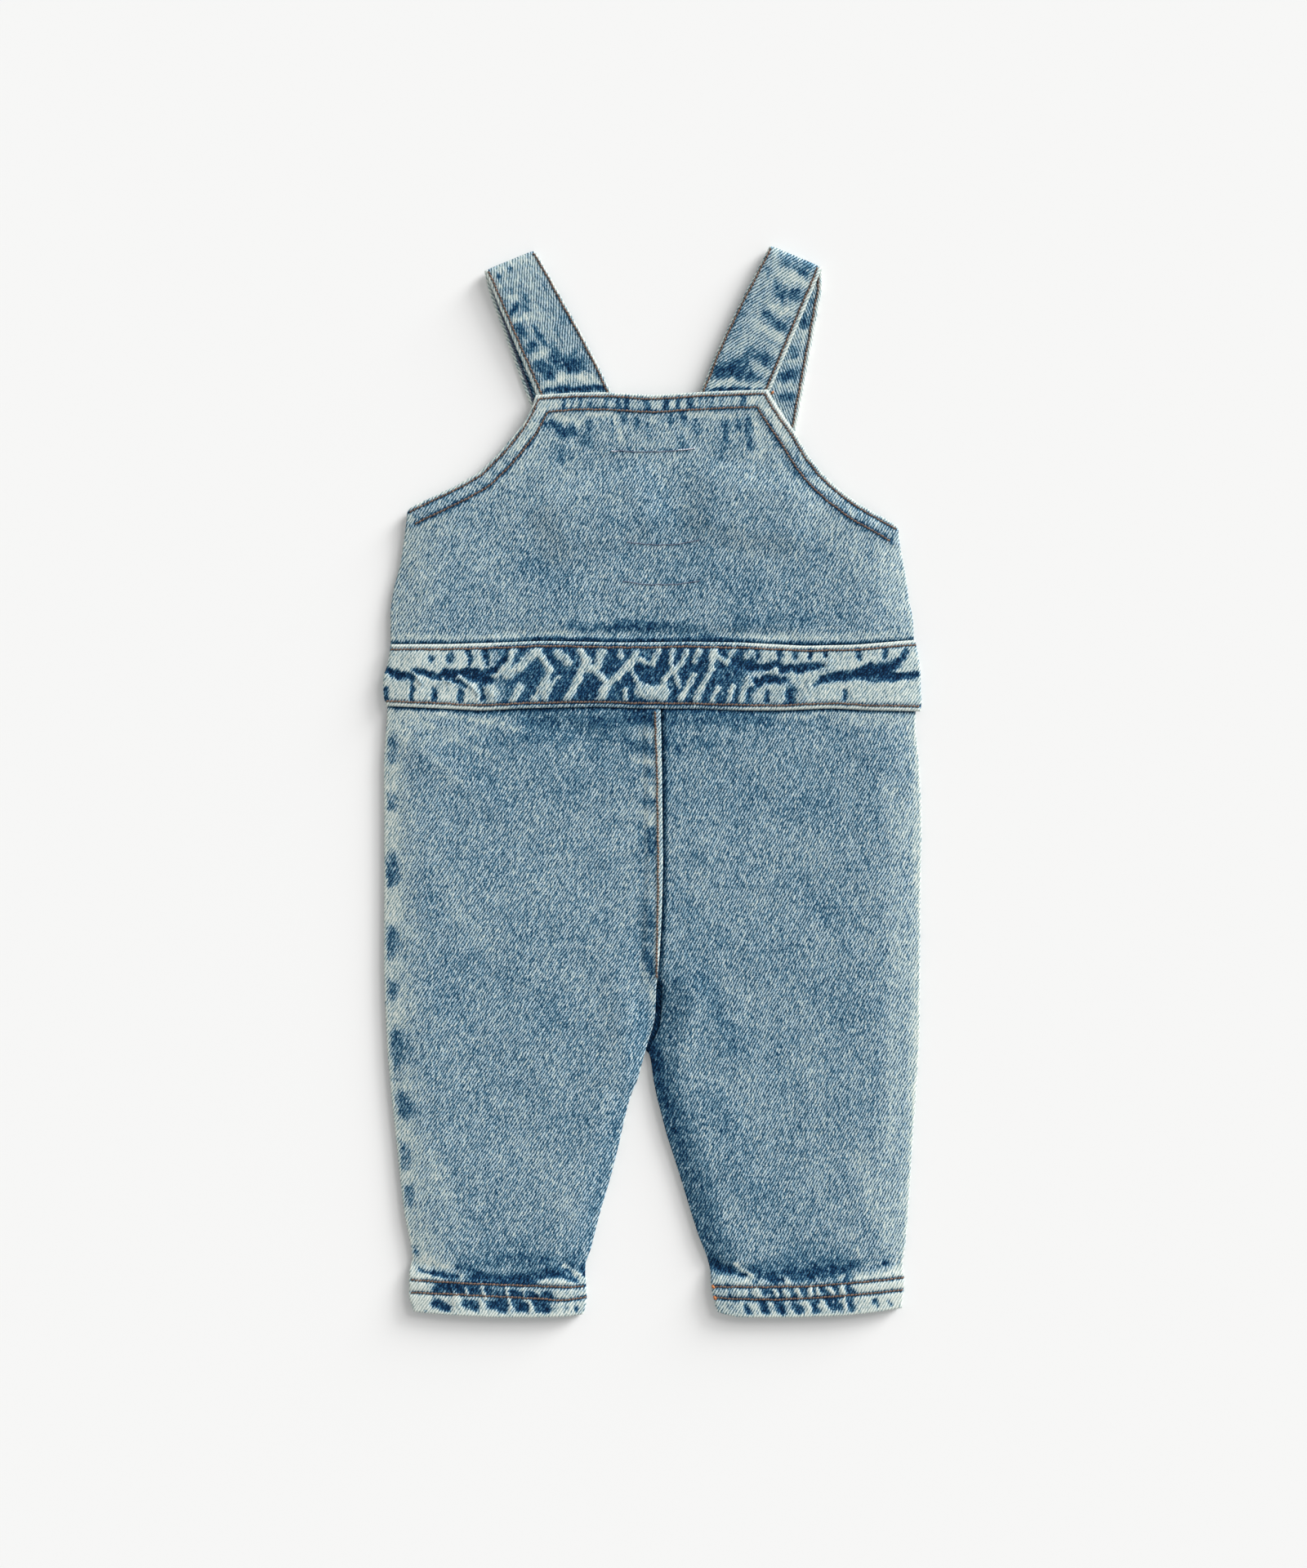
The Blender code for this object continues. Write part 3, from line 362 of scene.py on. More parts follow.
BIB_MARKS = [
    # The dark rows on the next five lines lie just above the waistband: partly deeper indigo, partly
    # painted shade of the seam and of the fold over it
    (-57.6, 67.9, 0.4, 67.1, 1.8, -1.1), (0.4, 67.1, 36.4, 67.5, 1.7, -1.1),
    (-39.6, 75.1, 0.4, 74.3, 2.4, -0.6), (-15.6, 76.7, 24.4, 73.5, 2.8, -0.55),
    (-63.6, 68.7, -55.6, 69.1, 1.2, -0.4), (24.4, 71.1, 40.4, 69.1, 1.6, -0.45),
    (-79.6, 70.7, -39.6, 72.3, 1.3, 0.35), (-39.6, 71.9, -7.6, 70.7, 1.2, 0.25),
    (40.4, 76.7, 76.4, 78.3, 3.2, -0.35), (-127.6, 69.9, -60.4, 68.7, 2, 0.5),
    (34.4, 69.9, 127.6, 69.5, 2, 0.5), (-15.6, 126.3, 24.4, 126.3, 8.8, -0.14),
    (-39.6, 158.3, 24.4, 142.3, 10.4, -0.12), (-63.6, 106.3, -39.6, 94.3, 6.4, -0.15),
    (16.4, 102.3, 64.4, 94.3, 8.8, -0.15), (-95.6, 126.3, -79.6, 102.3, 7.2, 0.12),
    (84.4, 126.3, 104.4, 102.3, 7.2, 0.12), (-119.6, 122.3, -111.6, 86.3, 4.8, 0.12),
    (112.4, 118.3, 116.4, 86.3, 4.8, 0.12), (-20.4, 161.1, -12.4, 161.5, 0.6, -0.4),
    (-12.4, 161.5, 10.8, 161.9, 0.6, -0.5), (10.8, 162.3, 18.8, 162.7, 0.7, -0.4),
    (13.2, 167.1, 16.4, 163.9, 2, -0.28), (-12.8, 116.3, 22.8, 116.7, 0.6, -0.3),
    (-14.8, 97.1, 23.6, 97.5, 0.6, -0.3), (-43.6, 186.3, -44, 182.3, 1, -0.9),
    (-39.2, 186.3, -39.6, 182.7, 1, -0.8), (-35.2, 186.3, -35.6, 182.3, 1, -0.7),
    (-30.8, 186.7, -31.2, 182.7, 1, -0.7), (-23.2, 187.1, -22.4, 182.3, 1, -0.7),
    (-17.2, 186.7, -16.4, 181.9, 1.2, -1), (-12.8, 186.7, -13.2, 181.5, 1.4, -1.2),
    (-3.2, 185.1, -2.8, 181.5, 1.2, -0.9), (6.8, 186.7, 6.4, 181.9, 1.4, -1.3),
    (12.8, 187.1, 12.4, 182.3, 1.2, -1.2), (17.6, 187.5, 18.8, 183.1, 1.2, -0.9),
    (23.6, 187.5, 23.2, 183.5, 1, -0.7), (29.2, 187.9, 28.8, 183.9, 1, -0.7),
    (34, 187.9, 33.6, 183.9, 0.9, -0.6), (44.4, 187.9, 43.6, 183.1, 1.4, -1),
    (-47.2, 177.9, -35.2, 175.1, 1.8, 0.7), (-30.8, 179.5, -18, 177.9, 1.6, 0.7),
    (18, 179.5, 40, 178.3, 1.8, 0.7), (-18, 175.1, -14.8, 166.3, 1.6, 0.6),
    (-49.2, 174.7, -43.2, 169.5, 2.2, -1.2), (-39.2, 173.5, -38.8, 169.9, 1.8, -1),
    (-31.2, 174.3, -32.4, 163.5, 2.4, -0.6), (-45.2, 163.1, -44.8, 156.3, 1.8, -0.5),
    (-20.4, 177.5, -18.8, 171.9, 1.2, -0.7), (-14.8, 179.1, -14, 175.1, 1.2, -0.6),
    (-7.2, 178.3, -8, 173.5, 1.2, -0.6), (-2.4, 175.1, -2, 169.5, 1.2, -0.6),
    (8.4, 179.1, 9.2, 174.3, 1.4, -0.9), (14.8, 179.9, 15.6, 175.1, 1.4, -0.9),
    (20.8, 175.1, 21.6, 171.1, 1.6, -0.6), (35.2, 175.9, 36, 163.1, 1.4, -0.7),
    (42, 175.9, 42.4, 171.9, 1.4, -0.7), (46.4, 176.7, 47.6, 163.1, 1.6, -0.8),
    (50.8, 174.3, 53.2, 158.3, 1.4, 0.4), (-54, 176.3, -52.4, 171.9, 1.3, -0.7),
    (56.4, 174.3, 61.2, 164.3, 1.4, -0.6), (63.6, 158.3, 70.4, 148.3, 1.4, -0.5),
    (-59.6, 166.3, -65.2, 158.3, 1.4, -0.5), (32.4, 164.3, 34, 158.3, 1.6, -0.4),
    (13.2, 166.3, 14.8, 163.1, 1.6, -0.25),
]
LEG_LEFT_MARKS = [
    (-127.6, 33.1, -103.6, 31.9, 1.8, 0.55), (-103.6, 32.7, -79.6, 28.7, 1.6, 0.6),
    (-79.6, 28.7, -65.2, 25.1, 1.6, 0.45), (-119.6, 28.7, -87.6, 23.9, 2.4, 0.25),
    (-63.6, 30.3, -0.4, 30.3, 3.2, -0.5), (-63.6, 27.1, -15.6, 27.1, 2.8, -0.25),
    (-39.6, 24.3, -43.6, 16.3, 2, -0.3), (-23.6, 25.1, -28.4, 12.3, 2, -0.25),
    (-128.4, 30.3, -95.6, 0.3, 1.6, 0.3), (-119.6, 31.9, -79.6, 12.3, 1.4, 0.3),
    (-111.6, 20.3, -95.6, 20.3, 2.8, 0.25), (-128.4, 23.9, -119.6, 18.3, 2, 0.35),
    (-127.6, 20.7, -127.6, 9.5, 2.4, -0.65), (-127.6, -7.7, -127.6, -12.9, 2.6, -0.7),
    (-128, -37.7, -127.6, -49.7, 2.8, -0.8), (-126, -39.7, -124.4, -47.3, 2, -0.3),
    (-128.4, -73.3, -128, -84.9, 2.8, -0.8), (-126, -76.1, -124.4, -81.7, 2, -0.3),
    (-127.6, -99.7, -127.6, -105.3, 2.8, -0.85), (-125.6, -124.1, -125.2, -136.5, 3.2, -0.8),
    (-122, -126.5, -119.6, -134.5, 3.2, -0.35), (-125.6, -140.1, -124.4, -146.5, 2, -0.35),
    (-123.2, -154.9, -121.2, -163.3, 3.4, -0.85), (-118.8, -157.7, -116.4, -161.7, 2.4, -0.3),
    (-121.6, -178.5, -121.2, -188.9, 2.8, -0.75), (-119.6, -199.7, -119.2, -205.7, 2.6, -0.7),
    (-117.6, -228.9, -117.2, -232.1, 2, -0.5), (-126.8, 6.3, -126.8, -4.1, 2.4, 0.4),
    (-126.8, -16.1, -127.2, -32.1, 2.8, 0.4), (-126.8, -55.7, -126.8, -68.1, 3.2, 0.4),
    (-126, -89.3, -126, -95.3, 2.4, 0.45), (-125.2, -108.9, -124.4, -119.3, 3.2, 0.4),
    (-121.2, -148.1, -119.6, -151.3, 2.4, 0.35), (-121.2, -168.1, -120.4, -175.3, 2.8, 0.4),
    (-119.6, -192.1, -118.8, -196.9, 2.4, 0.35), (-11.6, 31.5, -0.4, 31.1, 2.8, -0.6),
    (-6.8, 23.9, -0.8, 23.1, 2.2, 0.55), (-13.2, 19.1, -10, 17.1, 2, -0.7),
    (-4.4, 15.9, -0.8, 14.3, 1.8, -0.85), (-8.8, 10.3, -0.4, 8.7, 2.4, 0.6),
    (-2.8, 4.7, -0.4, 4.3, 1.3, -0.7), (-5.6, -0.1, 0, -4.9, 2.8, 0.5),
    (-4.4, -10.5, 0, -10.9, 1.3, -0.7), (-5.2, -15.3, 0.4, -19.7, 3, 0.5),
    (-0.8, -24.9, 0, -35.3, 1.8, -0.8), (-2.8, -41.7, 0, -56.1, 2, 0.15),
    (-2.4, -62.5, 0, -70.5, 2, -0.7), (-1.2, -76.1, -0.4, -78.9, 1.4, -0.5),
    (-3.2, -84.1, 0, -93.7, 2, -0.8), (-0.8, -89.7, 0.4, -98.5, 1.4, -0.5),
    (-6, -86.5, -3.2, -94.5, 0.9, 0.35), (-3.2, -94.5, 0.4, -106.5, 1.2, 0.45),
    (0.4, -106.5, -0.4, -122.5, 1.4, 0.4), (-0.8, -123.7, -4.4, -134.5, 1.6, 0.35),
    (-4.4, -137.7, -9.2, -155.7, 2, 0.25), (-9.2, -155.7, -16.8, -185.7, 2.4, 0.25),
    (-16.8, -185.7, -25.6, -217.7, 2.8, 0.25), (-79.6, 20.3, -15.6, 22.3, 4, -0.2),
    (-95.6, -17.7, -39.6, -1.7, 5.6, -0.08), (-79.6, -89.7, -39.6, -121.7, 8.8, -0.12),
    (-95.6, -65.7, -79.6, -81.7, 4, 0.12), (-107.6, -185.7, -95.6, -217.7, 4.8, 0.25),
    (-63.6, -177.7, -43.6, -209.7, 5.6, 0.1), (-111.6, -33.7, -95.6, -57.7, 4, 0.08),
    (-95.6, -238.1, -85.2, -240.9, 1.8, -0.6), (-87.6, -242.5, -63.6, -243.7, 2.2, -1.1),
    (-63.6, -243.3, -49.2, -242.1, 2.4, -1.1), (-52.4, -240.1, -39.6, -240.1, 2, -0.9),
    (-49.2, -241.7, -37.2, -244.1, 1.1, -1.3), (-93.2, -234.9, -39.6, -235.7, 3.2, -0.35),
    (-74.8, -232.5, -52.4, -234.1, 3.2, -0.3), (-79.6, -227.7, -63.6, -225.7, 3.6, -0.15),
    (-90.8, -244.1, -57.6, -246.1, 1.8, -0.8), (-57.6, -246.1, -37.6, -247.3, 1.2, -0.3),
    (-95.6, -254.5, -47.6, -255.3, 1, -0.5), (-114.8, -239.5, -107.6, -240.9, 0.7, -1.6),
    (-107.6, -240.9, -96, -243.7, 1.1, -1.6), (-34.6, -238.9, -34.6, -241.7, 1.1, -1.8),
    (-43.6, -237.3, -35.6, -242.9, 0.7, 1.5), (-54, -245.3, -39.6, -246.1, 1.2, 0.6),
    (-116, -230.5, -114, -233.3, 1.2, -0.5), (-113.6, -234.1, -101.2, -237.7, 2.6, 0.6),
    (-117.6, -242.5, -114.8, -244.1, 2, 0.5), (-106.4, -248.5, -50.8, -252.1, 2.2, -1.3),
    (-106.4, -247.3, -79.6, -248.9, 1.6, -0.5), (-102.4, -248.1, -102, -249.7, 0.6, 0.8),
    (-97.6, -248.5, -96.8, -251.3, 0.6, 0.8), (-91.6, -248.1, -90.8, -251.7, 0.9, 1.7),
    (-83.2, -248.1, -82, -252.5, 1, 1.8), (-78.4, -249.3, -77.6, -251.3, 0.6, 1),
    (-71.6, -248.5, -70.8, -252.1, 0.8, 1.6), (-63.2, -249.3, -62.4, -253.3, 0.9, 1.8),
    (-56.4, -250.1, -55.6, -252.5, 0.7, 1.2), (-106.8, -255.7, -101.2, -257.3, 2.3, -1.5),
    (-101.2, -258.5, -100, -259.7, 1, -1.1), (-92, -256.5, -86.4, -257.7, 2, -1.4),
    (-87.6, -258.5, -86.8, -259.3, 1, -0.9), (-80, -256.5, -72.8, -256.9, 2.1, -1.5),
    (-74.8, -258.5, -72.4, -259.3, 1.4, -1.2), (-66.8, -256.5, -62.4, -257.3, 2.2, -1.5),
    (-65.2, -258.9, -61.6, -259.7, 1.2, -1.2), (-56.8, -256.5, -51.2, -258.1, 1.9, -1.4),
    (-56, -259.3, -54, -260.1, 1, -1), (-96.8, -258.5, -96.8, -252.9, 0.6, 1.7),
    (-96.8, -252.5, -95.6, -251.7, 0.6, 1.7), (-95.6, -252.1, -94.8, -257.7, 0.6, 1.7),
    (-84.4, -253.7, -84.4, -257.7, 0.7, 1), (-70, -253.7, -70.2, -259.3, 0.7, 1.3),
    (-60.4, -254.5, -59.2, -259.7, 0.8, 1.5), (-37.4, -257.7, -37, -258.5, 0.7, -1.3),
    (-43.6, -257.7, -42.8, -258.5, 1, -0.4), (-111.2, -260.1, -110.4, -260.1, 0.7, -0.7),
]
LEG_RIGHT_MARKS = [
    (80.4, 33.1, 125.2, 32.7, 1.8, 0.6), (56.4, 31.9, 80.4, 32.7, 1.6, 0.4),
    (88.4, 28.7, 120.4, 27.9, 2.4, 0.25), (3.6, 30.7, 56.4, 30.3, 3.2, -0.45),
    (8.4, 27.1, 40.4, 27.1, 2.8, -0.25), (16.4, 25.1, 13.2, 16.3, 2, -0.25),
    (32.4, 26.3, 30, 17.5, 2, -0.2), (6.8, 20.3, 7.6, 10.3, 1.6, -0.4),
    # The dark rows from x 2.8, y -99.7 to x 16.4, y -185.7 are painted shade along the inner edge below
    # the crotch
    (7.6, 2.3, 8, -7.7, 1.6, -0.3), (2.8, -99.7, 2.8, -122.5, 1, -0.8),
    (-0.8, -130.9, -0.4, -138.5, 2.4, -1.2), (2, -133.7, 2.8, -137.7, 2.4, -0.9),
    (1.6, -139.7, 3.2, -149.7, 2, -0.6), (4.4, -148.1, 6.4, -158.5, 2, -0.6),
    (6.8, -158.5, 11.2, -171.7, 1.8, -0.4), (11.2, -171.7, 16.4, -185.7, 1.8, -0.25),
    (5.2, -97.7, 6, -131.7, 1.4, 0.1), (14.4, -117.7, 18.4, -149.7, 3.6, 0.15),
    (20.4, -89.7, 40.4, -129.7, 5.6, -0.3), (24.4, -153.7, 40.4, -177.7, 8, -0.25),
    (12.4, -57.7, 32.4, -81.7, 5.6, -0.2), (8.4, -81.7, 13.2, -97.7, 2.4, -0.2),
    (40.4, -193.7, 64.4, -217.7, 7.2, -0.15), (60.4, -77.7, 96.4, -117.7, 8, -0.1),
    (40.4, -1.7, 80.4, -17.7, 6.4, -0.12), (72.4, -49.7, 84.4, -65.7, 5.6, -0.15),
    (17.2, 26.3, 21.2, 19.9, 1.6, 0.35), (24.4, 27.1, 36.4, 24.7, 1.8, 0.35),
    (19.6, 20.3, 27.6, 16.3, 2.4, -0.5), (7.6, 26.3, 12.4, 12.3, 2.4, -0.4),
    (116.4, -1.7, 118.8, -89.7, 3.6, 0.15), (118, -97.7, 114.8, -185.7, 4, 0.2),
    (100.4, -185.7, 116.4, -225.7, 4.8, 0.3), (80.4, -193.7, 88.4, -217.7, 3.6, 0.12),
    (128.8, 22.3, 129.2, -57.7, 1.4, 0.35), (128.4, -77.7, 127.2, -177.7, 1.4, 0.35),
    (29.2, -236.1, 32.4, -238.5, 2.2, -1.5), (32.4, -238.1, 37.2, -239.7, 1.7, -1.2),
    (36.4, -239.3, 44.8, -242.9, 0.9, -1.5), (40.4, -236.9, 48.8, -243.7, 0.7, 1.6),
    (48.8, -239.7, 58.8, -243.7, 2.2, -1), (58.8, -242.1, 63.6, -244.1, 1.4, -1.2),
    (65.2, -240.9, 77.2, -242.1, 2.4, -1.2), (77.2, -239.7, 87.6, -240.1, 2.6, -1.3),
    (89.2, -238.1, 95.6, -240.5, 2.2, -1.1), (97.2, -236.9, 101.6, -236.5, 1.8, -0.9),
    (50.4, -238.5, 96.4, -236.5, 2.4, -0.4), (64.4, -232.9, 92.4, -232.1, 3.6, -0.25),
    (50.4, -245.3, 96.4, -243.7, 1.6, -0.7), (40.4, -254.1, 96.4, -252.9, 1, -0.5),
    (76, -237.7, 79.6, -242.9, 0.6, 1.1), (88.4, -235.3, 90.8, -240.5, 0.6, 0.7),
    (64.4, -243.3, 66, -245.7, 1, 0.9), (91.6, -242.5, 98, -240.1, 1, 0.5),
    (52.4, -244.9, 58.4, -245.3, 1, 0.5), (112.8, -236.1, 114.8, -236.1, 1.3, -1.2),
    (107.6, -238.1, 109.6, -237.7, 0.8, -0.5), (99.2, -228.9, 103.6, -236.9, 0.7, 0.5),
    (37.8, -249.7, 38, -252.9, 0.5, -1), (47.2, -249.3, 48, -252.9, 0.9, -0.9),
    (54, -249.7, 58.4, -251.3, 1.5, -1.1), (62.4, -249.3, 63.2, -252.9, 1.2, -1.3),
    (67.2, -249.3, 68.8, -252.5, 1.2, -1.3), (73.6, -248.9, 75.2, -252.1, 1.2, -1.3),
    (78.8, -248.9, 79.2, -252.1, 0.8, -1.2), (82.4, -248.5, 85.6, -251.3, 1.6, -1.3),
    (89.2, -247.7, 90.8, -250.9, 1.4, -1.3), (95.2, -247.3, 97.6, -250.9, 1.6, -1.4),
    (41.2, -248.9, 42, -252.1, 1, 0.8), (50.4, -249.3, 52.4, -252.9, 1, 0.8),
    (60, -249.3, 60.8, -252.5, 0.8, 1.3), (64.8, -250.1, 65.6, -252.5, 0.7, 1.3),
    (70.8, -248.5, 72, -252.5, 0.9, 1.3), (76.8, -248.5, 77.6, -252.1, 0.8, 1.3),
    (80.4, -248.1, 81.2, -251.7, 0.7, 1.3), (87.2, -248.1, 87.6, -250.9, 0.7, 1.2),
    (92.4, -247.7, 93.2, -251.3, 0.8, 1.4), (38.8, -257.3, 39.2, -258.9, 0.7, -0.5),
    (46, -257.7, 47.2, -260.1, 1.3, -1.4), (53.6, -256.5, 55.6, -259.3, 1.8, -1.5),
    (61.6, -256.5, 63.6, -259.3, 2.2, -1.5), (69.2, -256.9, 72, -258.9, 2.2, -1.5),
    (79.2, -256.1, 80.4, -259.3, 1.8, -1.5), (85.6, -254.9, 91.2, -257.7, 2.4, -1.5),
    (96.4, -254.5, 97.6, -258.1, 1.8, -1.5), (75.2, -254.9, 76.8, -259.3, 0.7, 1),
    (82.4, -253.7, 84.4, -258.9, 0.7, 1), (93.6, -252.9, 94.8, -258.5, 0.7, 1.2),
    (108.4, -254.5, 109.6, -256.9, 1.2, -1.3), (115.6, -255.3, 116.4, -256.9, 1, -1),
]
STRAP_LEFT_MARKS = [
    (-75, 247.1, -75, 245.5, 1.4, -0.9), (-69.9, 250.7, -69.9, 249.5, 1.4, -0.9),
    (-71.2, 240.3, -69.2, 239.9, 1.6, -0.6), (-68.8, 228.7, -66.8, 232.7, 2, -0.9),
    (-62, 235.9, -61.2, 231.1, 2.4, -0.7), (-63.6, 241.9, -63.2, 239.1, 2, -0.4),
    (-66, 221.9, -63.2, 219.5, 2.4, -0.7), (-57.6, 222.3, -53.2, 213.9, 1.2, -0.9),
    (-60.4, 210.7, -58, 213.9, 2, -0.9), (-56, 203.9, -51.2, 199.9, 2.8, -1),
    (-51.2, 198.3, -49.2, 196.7, 2, -1), (-47.6, 206.3, -42, 202.3, 4, -0.8),
    (-40.4, 203.5, -37.2, 201.5, 3.2, -0.6), (-38.8, 206.3, -34.8, 203.9, 3.6, -0.6),
    (-50, 211.9, -47.6, 208.7, 2.4, -0.5), (-52.8, 243.9, -52.8, 239.9, 1.6, -0.4),
    (-43.2, 229.9, -41.6, 225.9, 2.4, -0.25), (-63.6, 244.3, -39.6, 210.3, 3.6, -0.15),
    (-68.4, 225.5, -59.6, 227.9, 1.6, 0.7), (-58.8, 206.3, -51.2, 210.3, 2, 0.7),
    (-52.8, 192.7, -44.8, 197.5, 2.4, 0.7), (-44.8, 197.5, -34, 197.1, 2.4, 0.6),
    (-34, 197.1, -26, 195.1, 2.4, 0.6), (-69.2, 235.9, -66.8, 236.7, 1.6, 0.4),
    (-61.6, 220.7, -59.6, 220.3, 1.2, 0.5), (-78, 244.7, -75.6, 242.3, 1.6, 0.4),
    (-52.8, 190.9, -24.4, 192.1, 1.3, -1.7), (-72.4, 244.3, -63.6, 241.5, 3.2, 0.25),
    (-63.6, 248.3, -58.8, 233.5, 2.8, 0.25), (-57.6, 230.3, -52.4, 223.9, 3.2, 0.2),
    (-74.8, 247.9, -68.4, 251.9, 1.6, 0.3),
]
# The dark rows are painted shade on the lower run under the upper run; the light ones are worn specks
STRAP_LEFT_LOWER_SHADE_AND_MARKS = [
    (-80.4, 242.3, -74.8, 225.5, 2, -0.5), (-77.2, 232.3, -70.8, 214.3, 2.4, -1.3),
    (-70.8, 214.3, -63.6, 196.3, 2.4, -1.4), (-63.6, 196.3, -59.6, 186.3, 2.4, -1.4),
    (-76.8, 225.5, -76, 223.9, 0.8, 0.8), (-70.8, 212.3, -70, 210.3, 0.8, 0.6),
    (-66.4, 201.5, -65.6, 199.9, 0.8, 0.7),
]
STRAP_RIGHT_MARKS = [
    (65.2, 254.3, 72.4, 251.1, 3.6, -0.5), (74, 249.1, 74.4, 247.5, 2, -0.8),
    (76.4, 253.1, 77.2, 251.1, 2, -0.6), (61.2, 240.3, 63.2, 237.5, 2.8, -0.8),
    (69.2, 239.1, 70.4, 237.1, 2.4, -1.1), (56, 228.3, 57.6, 225.9, 2.4, -0.8),
    (61.6, 223.9, 63.2, 221.9, 2.4, -1), (54, 230.7, 54, 228.7, 2, -0.4),
    (54.4, 207.9, 55.6, 204.7, 2.4, -1.1), (47.6, 210.3, 49.6, 207.9, 2.4, -0.7),
    (38.8, 202.3, 44.4, 203.9, 4, -1), (34.4, 198.7, 38.8, 200.3, 4, -0.8),
    (48.4, 198.3, 51.6, 196.7, 2.4, -0.8), (43.6, 197.5, 47.6, 195.9, 2.4, -0.8),
    (30.8, 199.9, 33.2, 200.7, 2.8, -0.5), (55.6, 250.7, 56.4, 248.7, 2, -0.3),
    (40.4, 222.3, 50.4, 238.3, 3.6, -0.15), (67.2, 248.3, 76.8, 242.7, 2, 0.7),
    (58, 231.9, 70, 227.5, 2, 0.7), (53.2, 222.3, 65.6, 213.9, 2, 0.7),
    (49.2, 204.3, 56.8, 199.5, 1.4, 0.7), (25.6, 193.9, 38, 195.5, 2, 0.6),
    (38, 195.5, 54, 193.1, 1.8, 0.6), (62.4, 248.3, 66.4, 244.3, 2, 0.3),
    (28.4, 191.5, 54, 191.9, 0.8, -1.6), (50.4, 224.3, 58.4, 233.5, 3.6, 0.15),
    (42.4, 212.3, 46.4, 216.3, 2.8, 0.15), (60.4, 248.3, 69.2, 243.9, 2.4, 0.2),
]
STRAP_RIGHT_LOWER_MARKS = [
    (73.6, 227.1, 74.4, 223.1, 2, -0.9), (68.8, 211.1, 69.6, 208.7, 2, -0.8),
    (63.6, 198.3, 68.4, 199.1, 2.8, -1.1), (63.6, 187.9, 67.6, 188.7, 2, -0.9),
    (76.4, 236.3, 77.2, 232.3, 1.6, -0.6), (66.8, 205.5, 71.6, 205.9, 1.6, 0.6),
    (62.8, 193.1, 67.6, 193.5, 1.6, 0.5), (71.6, 217.5, 74, 218.3, 1.6, 0.4),
]
# Tone along the waistband: x, tone
BAND_TONE = [
    (-132, 0.8), (-90, 0.8), (-82, 0.5), (-74, -0.4), (-66, -0.95), (-40, -1.3),
    (30, -1.3), (42, -0.85), (50, 0.3), (60, 0.65), (132, 0.7),
]
# Tones of the panels and straps, and of what the wash did to each: turned edges, hems, the ropes
# beside a turned edge, the worn outermost edges; and the painted shades beside the lap and the seams
BODY_TONE = -0.05
STRAP_TONE = 0.18
TURNED_TONE = 0.3
HEM_TONE = 0.95
ROPE_TONE = 0.35
PUCKER_TONE = 0.3
STRAP_FOLD_TONE = 0.35
BIB_EDGE_TONE = 0.65
LEG_EDGE_TONE = 0.6
HEM_EDGE_TONE = 0.5
LAP_EDGE_TONE = 0.6
STRAP_EDGE_TONE = 0.9
BAND_EDGE_TONE = 1.05
BAND_EDGE_EVENING = 0.35
PAINTED_LAP_SHADE = 1.2
PAINTED_STRAP_ROW_SHADE = 0.8
ARMHOLE_DARK = 0.45
SIDE_FADE = 0.3
SIDE_FADE_WIDTH = 22.0
TONE_HOLD = 1.3
LIGHT_MARKS = 0.62
INSIDE_TONE = 0.55
SEAM_INDIGO_AND_PAINTED_SHADE = 1.5

# Colours: red, green, blue, as seen on a screen, at each tone
THREAD_TONES = [
    (-1.4, (6, 40, 72)), (-1.0, (26, 74, 112)), (-0.6, (80, 126, 152)), (-0.25, (138, 175, 194)),
    (0.0, (182, 208, 223)), (0.5, (213, 227, 227)), (1.0, (233, 239, 232)),
]
# Colours of the twill's sunken yarn: darker than the raised yarn, partly less worn indigo and partly
# painted shade between the ribs
GROOVE_TONES_WITH_SHADE = [
    (-1.4, (2, 20, 42)), (-1.0, (3, 36, 66)), (-0.5, (12, 54, 80)), (0.0, (30, 66, 87)),
    (0.5, (104, 132, 138)), (1.0, (172, 184, 179)),
]
TONE_LIMIT = 1.5
NOISE_CELLS = 97
NOISE_SHIFT = 400.0


def linear(colour):
    """A screen colour as the linear one that the shaders use."""
    share = np.array(colour) / 255.0
    low = share / 12.92
    high = ((share + 0.055) / 1.055) ** 2.4
    return tuple(np.where(share <= 0.04045, low, high)) + (1.0,)


def fade(value):
    """Falls smoothly from 1 at or below 0 to 0 at or above 1."""
    value = np.clip(value, 0.0, 1.0)
    return 1.0 - value * value * (3.0 - 2.0 * value)


def lookup(table, where, column=1):
    """Reads a column of a table at a value of its first column."""
    rows = np.asarray(table, dtype=float)
    return np.interp(where, rows[:, 0], rows[:, column])


def softened(table, reach=3.0, step=0.5):
    """The table as a close smooth curve through much the same points."""
    rows = np.array(table, dtype=float)
    first = np.arange(rows[0, 0], rows[-1, 0] + step / 2.0, step)
    count = int(reach / step)
    weights = np.hanning(2 * count + 3)[1:-1]
    weights /= weights.sum()
    columns = [first]
    for column in range(1, rows.shape[1]):
        values = np.interp(first, rows[:, 0], rows[:, column])
        before = 2.0 * values[0] - values[count:0:-1]
        after = 2.0 * values[-1] - values[-2:-count - 2:-1]
        columns.append(np.convolve(np.concatenate([before, values, after]), weights, "valid"))
    return np.stack(columns, axis=1)


def noise(x, y, size, seed):
    """Smooth noise from -1 to 1 that changes over the size, from a table that repeats."""
    count = NOISE_CELLS
    table = np.random.default_rng(seed).uniform(-1.0, 1.0, (count, count))
    u, v = np.asarray(x) / size + NOISE_SHIFT, np.asarray(y) / size + NOISE_SHIFT
    i, j = np.floor(u).astype(int), np.floor(v).astype(int)
    s, t = 1.0 - fade(u - i), 1.0 - fade(v - j)
    left, right, lower, upper = i % count, (i + 1) % count, j % count, (j + 1) % count
    low = table[left, lower] * (1.0 - s) + table[right, lower] * s
    high = table[left, upper] * (1.0 - s) + table[right, upper] * s
    return low * (1.0 - t) + high * t


